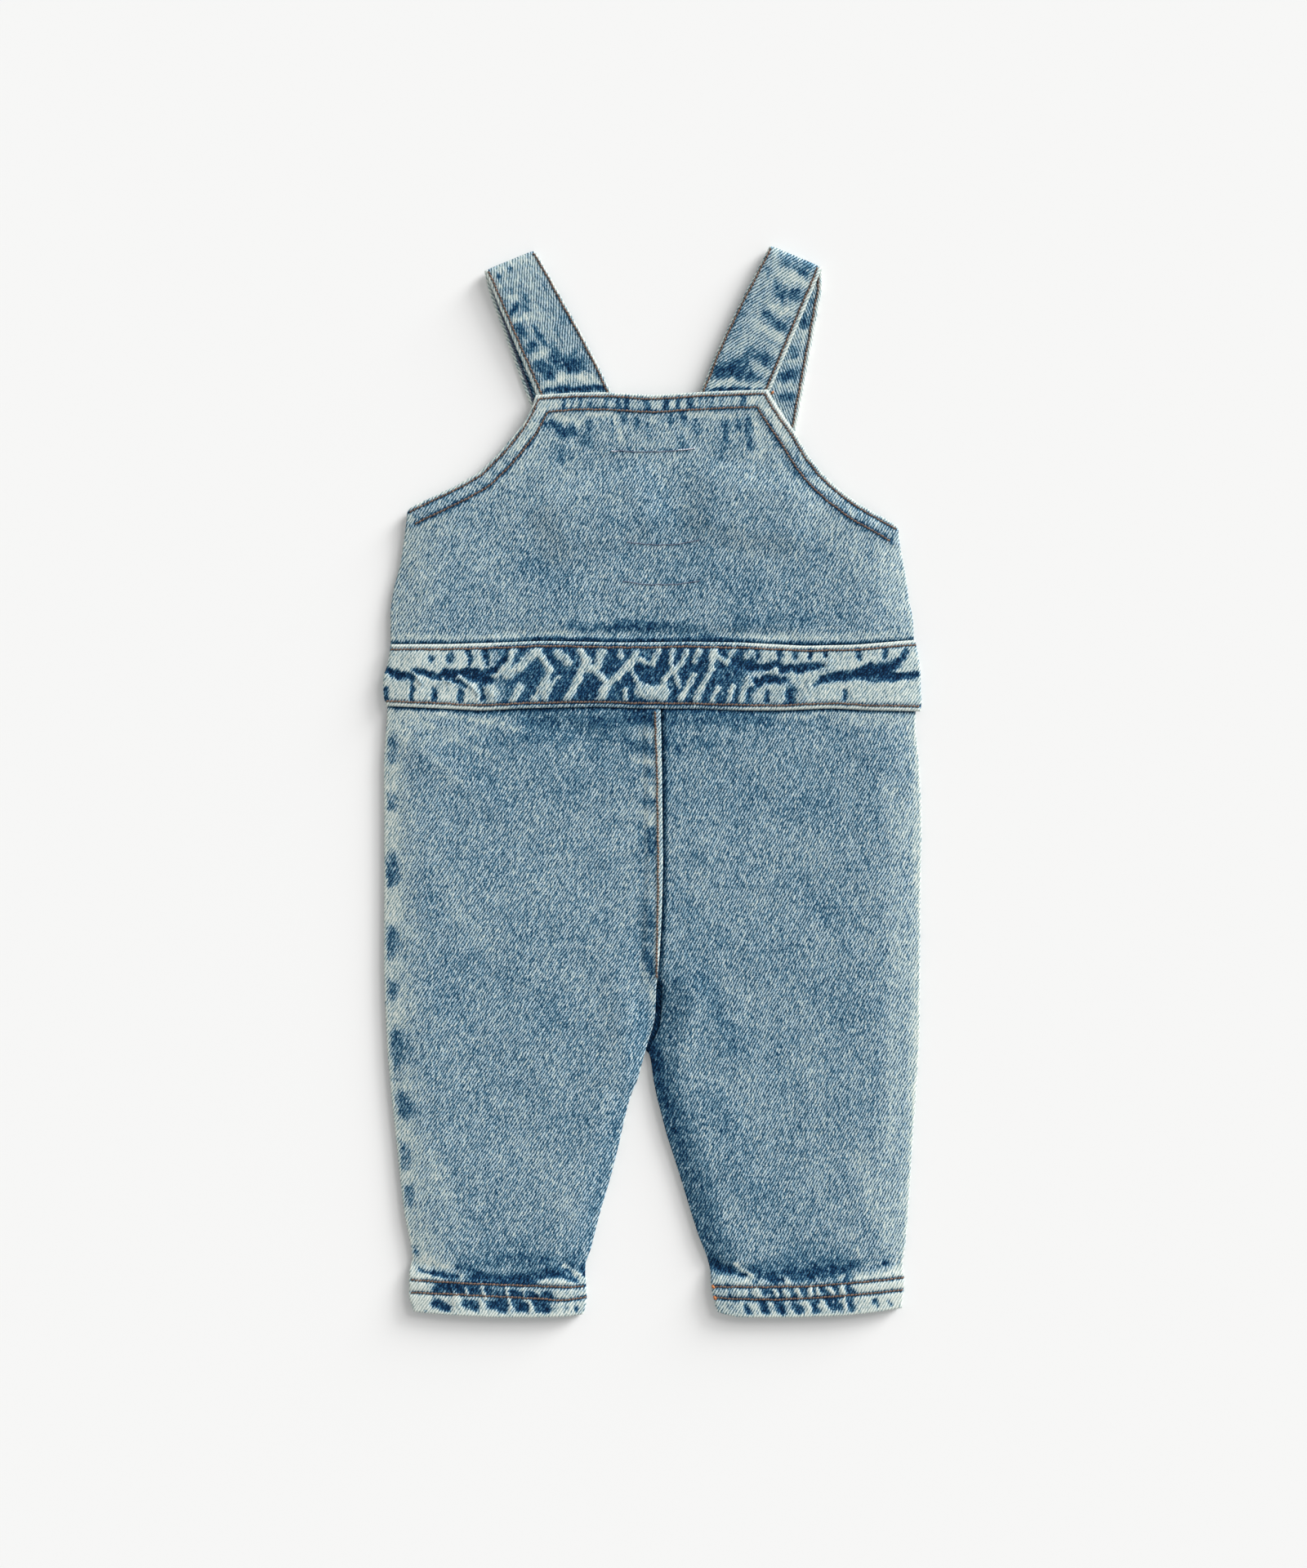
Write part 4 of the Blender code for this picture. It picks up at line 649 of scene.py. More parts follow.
def distance_to_line(points, x, y):
    """Distance from x, y to an open line through the points."""
    nearest = np.full(np.shape(x), 1e9)
    for (ax, ay), (bx, by) in zip(points, points[1:]):
        dx, dy = bx - ax, by - ay
        share = ((x - ax) * dx + (y - ay) * dy) / max(dx * dx + dy * dy, 1e-9)
        share = np.clip(share, 0.0, 1.0)
        nearest = np.minimum(nearest, np.hypot(x - ax - share * dx, y - ay - share * dy))
    return nearest


def side_roll(distance, reach):
    """Rises from 0 at a side edge to 1 at the reach, steeply at first."""
    share = np.clip(distance / reach, 0.0, 1.0)
    return 1.0 - (1.0 - share) ** ROLL_POWER


def turned(distance, width):
    """Is 1 on a turned edge and 0 past its inner edge."""
    return fade((distance - width) / TURNED_STEP)


def thickened(share):
    """Thickness of the cloth, more where it is turned."""
    return CLOTH + (TURNED_CLOTH - CLOTH) * share


def rounded(distance, thickness):
    """How far each face of a cloth edge has rounded off, at a distance from the edge."""
    radius = thickness * 0.46
    share = np.clip(1.0 - distance / radius, 0.0, 1.0)
    return radius * (1.0 - np.sqrt(1.0 - share * share))


def groove(distance):
    """Dip that a stitch row pulls into the cloth."""
    return -GROOVE * np.exp(-(distance / GROOVE_HALF_WIDTH) ** 2)


def painted_shade_by_row(distance):
    """How much darker the cloth is beside a stitch row: painted shade in the row's groove."""
    return PAINTED_ROW_SHADE * np.exp(-(distance / PAINTED_ROW_SHADE_WIDTH) ** 2)


def tucked_drop(outside):
    """How far a panel drops where it goes under the waistband."""
    return TUCK_DROP * (1.0 - fade((outside + 1.0) / 1.6))


def seam_indigo_and_painted_shade(outside):
    """How much darker a panel is beside the waistband's seam: partly the deeper indigo kept in the
    seam, partly painted shade of its crevice.
    """
    return SEAM_INDIGO_AND_PAINTED_SHADE * np.exp(-((outside + 0.6) / 1.0) ** 2)


def settled(tone):
    """Holds a sum of tones softly within the range of the colours."""
    return TONE_HOLD * np.tanh(tone / TONE_HOLD)


def ridges(table, x, y):
    """Sum of soft ridges and troughs at x, y."""
    height = np.zeros(np.shape(x))
    for x0, y0, x1, y1, half_width, rise in table:
        away = distance_to_line([(x0, y0), (x1, y1)], x, y)
        height = height + rise * np.exp(-(away / half_width) ** 2)
    return height


def wear(table, x, y, wobble=0.7):
    """Tone that the marks add at x, y, with uneven outlines."""
    bent_x, bent_y = x, y
    for size, share in WOBBLES:
        bent_x = bent_x + share * wobble * noise(x, y, size, 11)
        bent_y = bent_y + share * wobble * noise(x, y, size, 13)
    tone = np.zeros(np.shape(x))
    for x0, y0, x1, y1, half_width, amount in table:
        away = distance_to_line([(x0, y0), (x1, y1)], bent_x, bent_y)
        tone = tone + amount * np.exp(-(away / half_width) ** 2.4)
    return tone * (1.0 + 0.3 * noise(x, y, 1.7, 15))


def over(base, own):
    """Tone where the marks hide the base as far as they are strong."""
    return base * (1.0 - np.clip(np.abs(own), 0.0, 1.0)) + own


def strap_frame(lower_run):
    """Button's centre and the direction of a strap's lower run."""
    x, y, degrees, length = lower_run
    angle = math.radians(degrees)
    along = (math.cos(angle), math.sin(angle))
    reach = length - TAB_LENGTH
    return x + along[0] * reach, y + along[1] * reach, along


def strap_offsets(lower_run, x, y):
    """Distances from a button, along the strap's lower run and across it."""
    centre_x, centre_y, along = strap_frame(lower_run)
    forward = (x - centre_x) * along[0] + (y - centre_y) * along[1]
    across = (x - centre_x) * along[1] - (y - centre_y) * along[0]
    return forward, fade((np.abs(across) - STRAP_HALF_WIDTH - STRAP_MARGIN) / SIDE_SLOPE)


def button_bump(lower_run, x, y):
    """Share of the button's lift at x, y, flat across the strap's width."""
    forward, sideways = strap_offsets(lower_run, x, y)
    return sideways * fade((np.abs(forward) - BUTTON_REACH) / BUTTON_SLOPE)


def front_lift(x, y):
    """Height of the front bib's underside over the strap ends and buttons."""
    lift = np.zeros(np.shape(x))
    for run in (STRAP_LEFT_LOWER, STRAP_RIGHT_LOWER):
        forward, sideways = strap_offsets(run, x, y)
        bump = sideways * fade((forward - TAB_LENGTH - STRAP_MARGIN) / SIDE_SLOPE)
        own = STRAP_LIFT * bump + BUTTON_LIFT * button_bump(run, x, y)
        lift = np.maximum(lift, own)
    return lift


# Outlines, smoothed once
BIB_LEFT = softened(BIB_LEFT_EDGE)
BIB_RIGHT = softened(BIB_RIGHT_EDGE)
BIB_TOP = softened(BIB_TOP_EDGE)
BAND_TOP = softened(BAND_TOP_EDGE, 6.0)
BAND_BOTTOM = softened(BAND_BOTTOM_EDGE, 6.0)
BAND_SIDES = softened(BAND_ENDS, 3.0)
LEGS = {
    "left": {
        "outer": softened(LEG_LEFT_OUTER), "inner": softened(LEG_LEFT_INNER),
        "hem": softened(HEM_LEFT, 4.0), "rows": HEM_LEFT_ROWS, "marks": LEG_LEFT_MARKS,
    },
    "right": {
        "outer": softened(LEG_RIGHT_OUTER), "inner": softened(LEG_RIGHT_INNER),
        "hem": softened(HEM_RIGHT, 4.0), "rows": HEM_RIGHT_ROWS, "marks": LEG_RIGHT_MARKS,
    },
}
# Straps: their three runs, and the marks of the upper run and of the rest; the left one's lower marks
# hold painted shade
STRAPS = {
    "left": {
        "runs": (STRAP_LEFT_UPPER, STRAP_LEFT_FOLD, STRAP_LEFT_LOWER),
        "marks": (STRAP_LEFT_MARKS, STRAP_LEFT_LOWER_SHADE_AND_MARKS),
    },
    "right": {
        "runs": (STRAP_RIGHT_UPPER, STRAP_RIGHT_FOLD, STRAP_RIGHT_LOWER),
        "marks": (STRAP_RIGHT_MARKS, STRAP_RIGHT_LOWER_MARKS),
    },
}


ARMHOLE_LOW_LEFT = 133.0
ARMHOLE_LOW_RIGHT = 124.0
ARMHOLE_NEAR = 62.0


def bib_outline():
    """Armholes and top edge of the back bib as one line, from left to right."""
    left = [(x, y) for y, x in BIB_LEFT_EDGE if y > ARMHOLE_LOW_LEFT]
    right = [(x, y) for y, x in BIB_RIGHT_EDGE if y > ARMHOLE_LOW_RIGHT]
    return left[:-1] + BIB_TOP_EDGE + right[::-1][1:]


SHARPEST = 0.35


def inset_line(points, distance):
    """The line moved to its right side, with its corners kept."""
    points = np.array(points, dtype=float)
    step = np.diff(points, axis=0)
    step /= np.linalg.norm(step, axis=1)[:, None]
    side = np.stack([step[:, 1], -step[:, 0]], axis=1)
    first = np.vstack([side[:1], side])
    last = np.vstack([side, side[-1:]])
    middle = first + last
    middle /= np.linalg.norm(middle, axis=1)[:, None]
    reach = distance / np.maximum((middle * first).sum(axis=1), SHARPEST)
    return points + middle * reach[:, None]


BIB_OUTLINE = bib_outline()
BIB_ROWS = [inset_line(BIB_OUTLINE, OUTER_ROW), inset_line(BIB_OUTLINE, INNER_ROW)]
FRONT_BIB_ROWS = [inset_line(FRONT_TOP_EDGE, OUTER_ROW), inset_line(FRONT_TOP_EDGE, INNER_ROW)]
FRONT_ROW_LEFT = -128.0
FRONT_ROW_RIGHT = 128.5
FRONT_BAND_ROWS = [
    [(FRONT_ROW_LEFT, y), (FRONT_ROW_RIGHT, y)]
    for y in (FRONT_BAND_TOP[0][1] - BAND_ROW, FRONT_BAND_BOTTOM[0][1] + BAND_ROW)
]


def small_folds(x, y, seed):
    """Uneven surface that worn cloth keeps when it lies flat."""
    wide = 0.22 * noise(x, y, 31.0, seed) + 0.14 * noise(x, y * 0.7, 13.0, seed + 1)
    return wide + 0.05 * noise(x, y, 4.5, seed + 2)


def bib_face(x, y):
    """Height, thickness and tone of the back bib."""
    left = x - lookup(BIB_LEFT, y)
    right = lookup(BIB_RIGHT, y) - x
    outline = distance_to_line(BIB_OUTLINE, x, y)
    doubled = turned(outline, TURNED_WIDTH + 1.4)
    edge = lookup(BIB_LEVELS, y, 1)
    middle = lookup(BIB_LEVELS, y, 2)
    side = np.minimum(left, right)
    height = edge + (middle - edge) * side_roll(side, SIDE_ROLL)
    for run in (STRAP_LEFT_LOWER, STRAP_RIGHT_LOWER):
        height = height + BUTTON_LIFT * button_bump(run, x, y)
    height = height + ridges(FOLDS, x, y) + TURNED_RELIEF * doubled
    calm = 1.0 - fade(np.minimum(side, outline) / CALM_WIDTH)
    height = height + small_folds(x, y, 21) * calm
    for row in BIB_ROWS:
        height = height + groove(distance_to_line(row, x, y))
    below_seam = lookup(BAND_TOP, x) - y
    height = height - tucked_drop(below_seam)
    thickness = thickened(doubled)
    rope = noise(x + y * 0.5, y, 3.4, 31)
    tone = BODY_TONE + TURNED_TONE * fade((outline - 6.6) / 2.0) + 0.2 * fade(side / 5.0)
    tone = tone + SIDE_FADE * fade(side / (1.4 * SIDE_FADE_WIDTH))
    armhole = 1.0 - fade((np.abs(x) - ARMHOLE_NEAR) / 8.0)
    tone = tone - ARMHOLE_DARK * armhole * doubled + 0.14 * (1.0 - fade((y - 110.0) / 50.0))
    tone = over(tone + ROPE_TONE * rope * fade((outline - 7.4) / 1.2), wear(BIB_MARKS, x, y))
    for row in BIB_ROWS:
        tone = tone - painted_shade_by_row(distance_to_line(row, x, y))
    tone = tone + BIB_EDGE_TONE * fade((outline - 1.2) / 0.7)
    tone = tone - seam_indigo_and_painted_shade(below_seam)
    return height, thickness, tone


def band_face(x, y):
    """Height, thickness and tone of the back waistband."""
    low = lookup(BAND_BOTTOM, x)
    high = lookup(BAND_TOP, x)
    side = np.minimum(x - lookup(BAND_SIDES, y, 1), lookup(BAND_SIDES, y, 2) - x)
    inside = np.minimum(y - low, high - y)
    rise = BAND_MIDDLE_LEVEL - BAND_EDGE_LEVEL
    height = BAND_EDGE_LEVEL + rise * side_roll(side, SIDE_ROLL)
    own = wear(BAND_MARKS, x, y, 0.6)
    puffed = 1.0 - fade((inside - 1.5) / 3.0)
    height = height + puffed * (0.35 * np.clip(own, -1.6, 1.6) + 0.25)
    height = height + 0.2 * noise(x, y, 9.0, 41) * puffed
    height = height + groove(inside - BAND_ROW)
    light = LIGHT_MARKS * np.tanh(np.maximum(own, 0.0))
    hidden = np.clip(1.6 * np.abs(own), 0.0, 1.0)
    tone = lookup(BAND_TONE, x) * (1.0 - hidden) + np.minimum(own, 0.0) + light
    edge_tone = BAND_EDGE_TONE - BAND_EDGE_EVENING * np.clip(tone, -1.0, 1.0)
    tone = tone + edge_tone * fade((inside - 1.2) / 0.6)
    tone = tone - painted_shade_by_row(inside - BAND_ROW)
    return height, np.full(np.shape(x), BAND_CLOTH), tone


def leg_face(side, x, y):
    """Height, thickness and tone of a back leg panel."""
    leg = LEGS[side]
    sign = 1.0 if side == "right" else -1.0
    outer = (lookup(leg["outer"], y) - x) * sign
    inner = (x - lookup(leg["inner"], y)) * sign
    above_hem = y - lookup(leg["hem"], x)
    below_crotch = 1.0 - fade((CROTCH + 12.0 - y) / CROTCH_FADE)
    inner_roll = 1.0 - below_crotch * (1.0 - side_roll(inner, INSEAM_ROLL))
    edge = lookup(LEG_LEVELS, y, 1)
    middle = lookup(LEG_LEVELS, y, 2)
    height = edge + (middle - edge) * side_roll(outer, SIDE_ROLL) * inner_roll
    hem = turned(above_hem, HEM_WIDTH)
    lapped = 1.0 if side == "left" else 0.0
    lap = turned(inner, LAP_WIDTH) * (1.0 - below_crotch) * lapped
    height = height + ridges(FOLDS, x, y) + TURNED_RELIEF * hem + LAP_RELIEF * lap
    calm = 1.0 - fade(np.minimum(outer, above_hem - 4.0) / CALM_WIDTH)
    height = height + small_folds(x, y, 51) * calm
    own = wear(leg["marks"], x, y)
    for row in leg["rows"]:
        away = distance_to_line(row, x, y)
        height = height + groove(away)
        own = own - painted_shade_by_row(away)
    near_hem = fade((above_hem - 20.0) / 8.0)
    height = height + 0.28 * np.clip(own, -1.4, 1.4) * near_hem * (1.0 - fade(above_hem / 3.0))
    above_seam = y - lookup(BAND_BOTTOM, x)
    height = height - tucked_drop(above_seam)
    thickness = thickened(np.maximum(hem, lap))
    tone = BODY_TONE + SIDE_FADE * fade(outer / SIDE_FADE_WIDTH) + 0.2 * fade(outer / 6.0)
    tone = tone - 0.08 * (1.0 - fade((y + 20.0) / 30.0))
    tone = over(tone + HEM_TONE * fade((above_hem - HEM_WIDTH) / 5.0), own)
    tone = tone + LEG_EDGE_TONE * fade((outer - 0.6) / 0.8)
    tone = tone + HEM_EDGE_TONE * fade((above_hem - 0.8) / 1.0)
    tone = tone - seam_indigo_and_painted_shade(above_seam)
    if side == "left":
        on_seam = 1.0 - below_crotch
        tone = tone + 0.22 * on_seam * fade((inner - 7.0) / 4.0)
        edge = LAP_EDGE_TONE * fade((inner - 2.2) / 0.7)
        tone = tone + on_seam * (edge - 0.25 * fade((inner - 9.0) / 6.0))
        # Painted shade along the inner edge below the crotch, where the leg rolls down to the gap
        tone = tone - 0.2 * below_crotch * fade((inner - 4.0) / 8.0)
        tone = tone + 0.25 * fade(outer / SIDE_FADE_WIDTH)
    else:
        tucked = 1.0 - below_crotch
        height = height - tucked * TUCK_DROP * fade((inner - 0.2) / 1.4)
        # Painted shade on the right panel where it goes under the lap of the centre seam
        tone = tone - PAINTED_LAP_SHADE * tucked * fade((inner - 0.8) / 1.4)
        # Painted shade along the inner edge below the crotch, where the leg rolls down to the gap
        tone = tone - 0.5 * below_crotch * fade((inner - 6.0) / 14.0)
    return height, thickness, tone


def calc(tree, operation, *values):
    """Adds a math node and returns its output."""
    node = tree.nodes.new("ShaderNodeMath")
    node.operation = operation
    for socket, value in zip(node.inputs, values):
        if isinstance(value, (int, float)):
            socket.default_value = value
        else:
            tree.links.new(value, socket)
    return node.outputs[0]


def wave(tree, turns):
    """Adds a wave that goes from 1 to 0 and back in each turn, and returns its output."""
    cosine = calc(tree, "COSINE", calc(tree, "MULTIPLY", turns, math.tau))
    return calc(tree, "MULTIPLY_ADD", cosine, 0.5, 0.5)


def cloudy(tree, vector, scale, stretch=(1.0, 1.0, 1.0), detail=2.0):
    """Adds a noise node on a stretched vector and returns it."""
    mapping = tree.nodes.new("ShaderNodeMapping")
    mapping.inputs["Scale"].default_value = stretch
    tree.links.new(vector, mapping.inputs["Vector"])
    texture = tree.nodes.new("ShaderNodeTexNoise")
    texture.inputs["Scale"].default_value = scale
    texture.inputs["Detail"].default_value = detail
    tree.links.new(mapping.outputs[0], texture.inputs["Vector"])
    return texture


def ramp(tree, value, stops):
    """Adds a colour ramp over the tones and returns its colour."""
    node = tree.nodes.new("ShaderNodeValToRGB")
    elements = node.color_ramp.elements
    while len(elements) < len(stops):
        elements.new(0.5)
    for element, (tone, colour) in zip(elements, stops):
        element.position = 0.5 + 0.5 * tone / TONE_LIMIT
        element.color = linear(colour)
    tree.links.new(value, node.inputs[0])
    return node.outputs[0]


def blended(tree, share, first, second):
    """Adds a colour mix and returns its colour."""
    node = tree.nodes.new("ShaderNodeMix")
    node.data_type = "RGBA"
    for socket, value in ((node.inputs[0], share), (node.inputs[6], first), (node.inputs[7], second)):
        if isinstance(value, (int, float, tuple)):
            socket.default_value = value
        else:
            tree.links.new(value, socket)
    return node.outputs[2]


def clamped(tree, value):
    """Adds a clamp from 0 to 1 and returns its output."""
    node = tree.nodes.new("ShaderNodeClamp")
    tree.links.new(value, node.inputs[0])
    return node.outputs[0]


def separated(tree, vector):
    """Adds a node that splits a vector and returns its outputs."""
    node = tree.nodes.new("ShaderNodeSeparateXYZ")
    tree.links.new(vector, node.inputs[0])
    return node.outputs


def nudged(tree, base, place, scale, reach):
    """Moves a place by the noise at a base, up to the reach, and returns the new place."""
    node = tree.nodes.new("ShaderNodeVectorMath")
    node.operation = "MULTIPLY_ADD"
    tree.links.new(cloudy(tree, base, scale).outputs["Color"], node.inputs[0])
    node.inputs[1].default_value = reach
    tree.links.new(place, node.inputs[2])
    return node.outputs[0]


def bumped(tree, shader, height, strength, distance):
    """Gives the shader a fine relief."""
    node = tree.nodes.new("ShaderNodeBump")
    node.inputs["Strength"].default_value = strength
    node.inputs["Distance"].default_value = distance
    tree.links.new(height, node.inputs["Height"])
    tree.links.new(node.outputs[0], shader.inputs["Normal"])


def new_material(name, values):
    """Adds a material whose shader has these plain values, and returns it, its nodes and the shader."""
    material = bpy.data.materials.new(name)
    material.use_nodes = True
    tree = material.node_tree
    shader = tree.nodes["Principled BSDF"]
    for label, value in values.items():
        shader.inputs[label].default_value = value
    return material, tree, shader


def attribute(tree, name):
    """Adds an attribute node and returns it."""
    node = tree.nodes.new("ShaderNodeAttribute")
    node.attribute_name = name
    return node


def chance(tree, first, second):
    """Adds a random value from -0.5 to 0.5 for each pair of whole numbers."""
    seed = tree.nodes.new("ShaderNodeCombineXYZ")
    tree.links.new(first, seed.inputs[0])
    tree.links.new(second, seed.inputs[1])
    texture = tree.nodes.new("ShaderNodeTexWhiteNoise")
    tree.links.new(seed.outputs[0], texture.inputs["Vector"])
    return calc(tree, "SUBTRACT", texture.outputs[0], 0.5)


def denim(name, mottle, contrast):
    """Three-by-one twill with indigo warp, faded where the tone is high."""
    material, tree, shader = new_material(name, {
        "Roughness": 0.92, "Specular IOR Level": 0.12, "Sheen Weight": 0.05, "Sheen Roughness": 0.45,
    })
    weave = attribute(tree, "weave").outputs["Vector"]

    # The yarns wander a little
    wander = nudged(tree, weave, weave, 0.09, (1.7, 1.7, 0.0))
    parts = separated(tree, nudged(tree, weave, wander, 0.7, (0.5, 0.9, 0.0)))

    # Each warp yarn floats over three weft yarns, one step higher than its neighbour
    warp = calc(tree, "DIVIDE", parts[0], WARP_PITCH)
    column = calc(tree, "FLOOR", warp)
    rise = calc(tree, "DIVIDE", parts[1], FLOAT_HEIGHT)
    phase = calc(tree, "SUBTRACT", rise, calc(tree, "DIVIDE", column, WEFT_YARNS))
    cell = calc(tree, "FLOOR", phase)
    luck = calc(tree, "MULTIPLY", chance(tree, column, cell), FLOAT_LUCK)
    pair = calc(tree, "FLOOR", calc(tree, "MULTIPLY", warp, 0.5))
    pick = calc(tree, "FLOOR", calc(tree, "MULTIPLY", rise, WEFT_YARNS))
    wash = attribute(tree, "tone").outputs["Fac"]
    unevenness = clamped(tree, calc(tree, "MULTIPLY_ADD", wash, -0.55 * SPECK_LUCK, 0.6 * SPECK_LUCK))
    speck = calc(tree, "MULTIPLY", chance(tree, pair, pick), unevenness)
    slub = calc(tree, "MULTIPLY", chance(tree, pair, cell), SLUB)
    crown = wave(tree, calc(tree, "SUBTRACT", phase, FLOAT_PLACE))
    across = calc(tree, "MULTIPLY_ADD", calc(tree, "FRACT", warp), 2.0, -1.0)
    rounding = calc(tree, "MULTIPLY_ADD", calc(tree, "MULTIPLY", across, across), -0.3, 1.0)
    ridge = calc(tree, "MULTIPLY", crown, rounding)
    woven = calc(tree, "MULTIPLY_ADD", ridge, contrast, LIT_SHARE - 0.45 * contrast)
    lit_share = clamped(tree, calc(tree, "ADD", woven, calc(tree, "ADD", luck, speck)))

    # Tone of each place, with the clouds that the wash leaves
    tone = calc(tree, "MULTIPLY_ADD", calc(tree, "ADD", speck, luck), TONE_SPECK, wash)
    tone = calc(tree, "ADD", tone, slub)
    for scale, stretch, detail, weight in WASH:
        cloud = cloudy(tree, weave, scale, stretch, detail).outputs[0]
        change = calc(tree, "MULTIPLY", calc(tree, "SUBTRACT", cloud, 0.5), weight * mottle)
        tone = calc(tree, "ADD", tone, change)
    share = calc(tree, "MULTIPLY_ADD", tone, 0.5 / TONE_LIMIT, 0.5)
    raised = ramp(tree, share, THREAD_TONES)
    # The sunken yarn's colours are darker partly as painted shade between the ribs
    sunken_with_shade = ramp(tree, share, GROOVE_TONES_WITH_SHADE)
    tree.links.new(blended(tree, lit_share, sunken_with_shade, raised), shader.inputs["Base Color"])

    # Relief of the floats and a fine fuzz
    fuzz = cloudy(tree, weave, 3.0, (1.0, 1.0, 1.0), 3.0).outputs[0]
    relief = calc(tree, "MULTIPLY_ADD", fuzz, 0.5, ridge)
    bumped(tree, shader, relief, 0.25, 0.00018)
    return material


def thread_material(name, dark, light):
    """Two-ply sewing thread, twisted, with uneven dye."""
    material, tree, shader = new_material(name, {"Roughness": 0.7, "Sheen Weight": 0.2})
    strand = attribute(tree, "strand").outputs["Vector"]
    parts = separated(tree, strand)
    twist = calc(tree, "ADD", calc(tree, "DIVIDE", parts[0], 1.1), parts[1])
    ply = wave(tree, twist)
    patches = cloudy(tree, strand, 0.35, (1.0, 0.0, 1.0), 2.0).outputs[0]
    uneven = calc(tree, "MULTIPLY_ADD", calc(tree, "SUBTRACT", patches, 0.5), 2.2, 0.0)
    share = clamped(tree, calc(tree, "ADD", calc(tree, "MULTIPLY", ply, 0.9), uneven))
    tree.links.new(blended(tree, share, linear(dark), linear(light)), shader.inputs["Base Color"])
    bumped(tree, shader, ply, 0.5, 0.0001)
    return material


def metal_material():
    """Brushed steel for the buttons."""
    material, tree, shader = new_material("brushed_steel", {"Metallic": 1.0})
    place = tree.nodes.new("ShaderNodeTexCoord").outputs["Object"]
    brushed = cloudy(tree, place, 900.0, (1.0, 12.0, 1.0), 3.0).outputs[0]
    colour = blended(tree, brushed, linear((150, 148, 143)), linear((206, 204, 198)))
    tree.links.new(colour, shader.inputs["Base Color"])
    tree.links.new(calc(tree, "MULTIPLY_ADD", brushed, 0.25, 0.25), shader.inputs["Roughness"])
    return material


def make_object(name, verts, faces, attributes, material):
    """Links a mesh of triangles or quads with its vertex attributes."""
    mesh = bpy.data.meshes.new(name)
    mesh.vertices.add(len(verts))
    mesh.vertices.foreach_set("co", (np.asarray(verts) * MM).ravel())
    size = faces.shape[1]
    mesh.loops.add(faces.size)
    mesh.loops.foreach_set("vertex_index", faces.ravel())
    mesh.polygons.add(len(faces))
    mesh.polygons.foreach_set("loop_start", np.arange(0, faces.size, size))
    mesh.polygons.foreach_set("loop_total", np.full(len(faces), size))
    for label, values in attributes.items():
        kind = "FLOAT" if values.ndim == 1 else "FLOAT_VECTOR"
        slot = "value" if values.ndim == 1 else "vector"
        layer = mesh.attributes.new(label, kind, "POINT")
        layer.data.foreach_set(slot, values.astype(np.float32).ravel())
    mesh.update(calc_edges=True)
    mesh.validate()
    mesh.materials.append(material)
    mesh.shade_smooth()
    piece = bpy.data.objects.new(name, mesh)
    bpy.context.collection.objects.link(piece)
    return piece


def shell(name, upper, lower, weave, tone, material):
    """Closed thin shell between two faces that share one grid of rows and columns."""
    rows, columns = upper.shape[:2]
    number = np.arange(rows * columns).reshape(rows, columns)
    quads = np.stack([number[:-1, :-1], number[:-1, 1:], number[1:, 1:], number[1:, :-1]], axis=-1)
    top = quads.reshape(-1, 4)
    bottom = top[:, ::-1] + rows * columns
    ring = np.concatenate([
        number[0, :], number[1:, -1], number[-1, -2::-1], number[-2:0:-1, 0],
    ])
    after = np.roll(ring, -1)
    rim = np.stack([ring, ring + rows * columns, after + rows * columns, after], axis=-1)
    faces = np.concatenate([top, bottom, rim])
    verts = np.concatenate([upper.reshape(-1, 3), lower.reshape(-1, 3)])
    weaves = np.concatenate([weave.reshape(-1, 3), weave.reshape(-1, 3)])
    tones = np.concatenate([settled(part).ravel() for part in tone])
    return make_object(name, verts, faces, {"weave": weaves, "tone": tones}, material)


def spread(low, high, step, slants=(1.0, 1.0), count=None):
    """Places from low to high: close ones at each end, then even steps."""
    first = [low + inset * slants[0] for inset in ROUND_STEPS]
    last = [high - inset * slants[1] for inset in reversed(ROUND_STEPS)]
    if count is None:
        count = max(int(round((last[0] - first[-1]) / step)), 2)
    middle = np.linspace(first[-1], last[0], count + 1)[1:-1]
    return np.array(first + list(middle) + last)


def slant(edge, y):
    """Length of a slanting edge for each millimetre of height, held under 3."""
    slope = (lookup(edge, y + 0.8) - lookup(edge, y - 0.8)) / 1.6
    return min(math.hypot(1.0, slope), 3.0)


def gridded(rows):
    """Grid of x and of y from a list of rows."""
    return np.array([x for x, y in rows]), np.array([y for x, y in rows])


def panel_grid(levels, left_edge, right_edge, count):
    """Grid of x and y with a row at each level, between two side edges."""
    rows = []
    for y in levels:
        slants = (slant(left_edge, y), slant(right_edge, y))
        row = spread(lookup(left_edge, y), lookup(right_edge, y), 0.0, slants, count)
        rows.append((row, np.full(len(row), y)))
    return gridded(rows)


def from_sides(x):
    """Distance of each point of a grid from the nearer end of its row."""
    return np.minimum(x - x[:, :1], x[:, -1:] - x)


def from_rim(x, y):
    """Distance of each point of a grid from the nearest edge of the grid."""
    return np.minimum(from_sides(x), np.minimum(np.abs(y - y[:1]), np.abs(y[-1:] - y)))


def fit_ends(x, y, bottom_edge, top_edge, reach):
    """Bends the lowest and highest rows of a grid onto two edges."""
    low, high = y[0, 0], y[-1, 0]
    down = (lookup(bottom_edge, x) - low) * fade((y - low) / reach)
    up = (lookup(top_edge, x) - high) * fade((high - y) / reach)
    return y + down + up


def shifted(table, offset):
    """The table with its second column moved."""
    moved = np.array(table, dtype=float)
    moved[:, 1] += offset
    return moved


def weave_places(x, y, tilt, offset):
    """Where each point lies on the bolt of cloth, which was laid on at a tilt."""
    angle = math.radians(tilt)
    across = x * math.cos(angle) + y * math.sin(angle)
    along = y * math.cos(angle) - x * math.sin(angle)
    return np.stack([across + offset, along + offset * 1.7, np.full(x.shape, offset)], axis=-1)


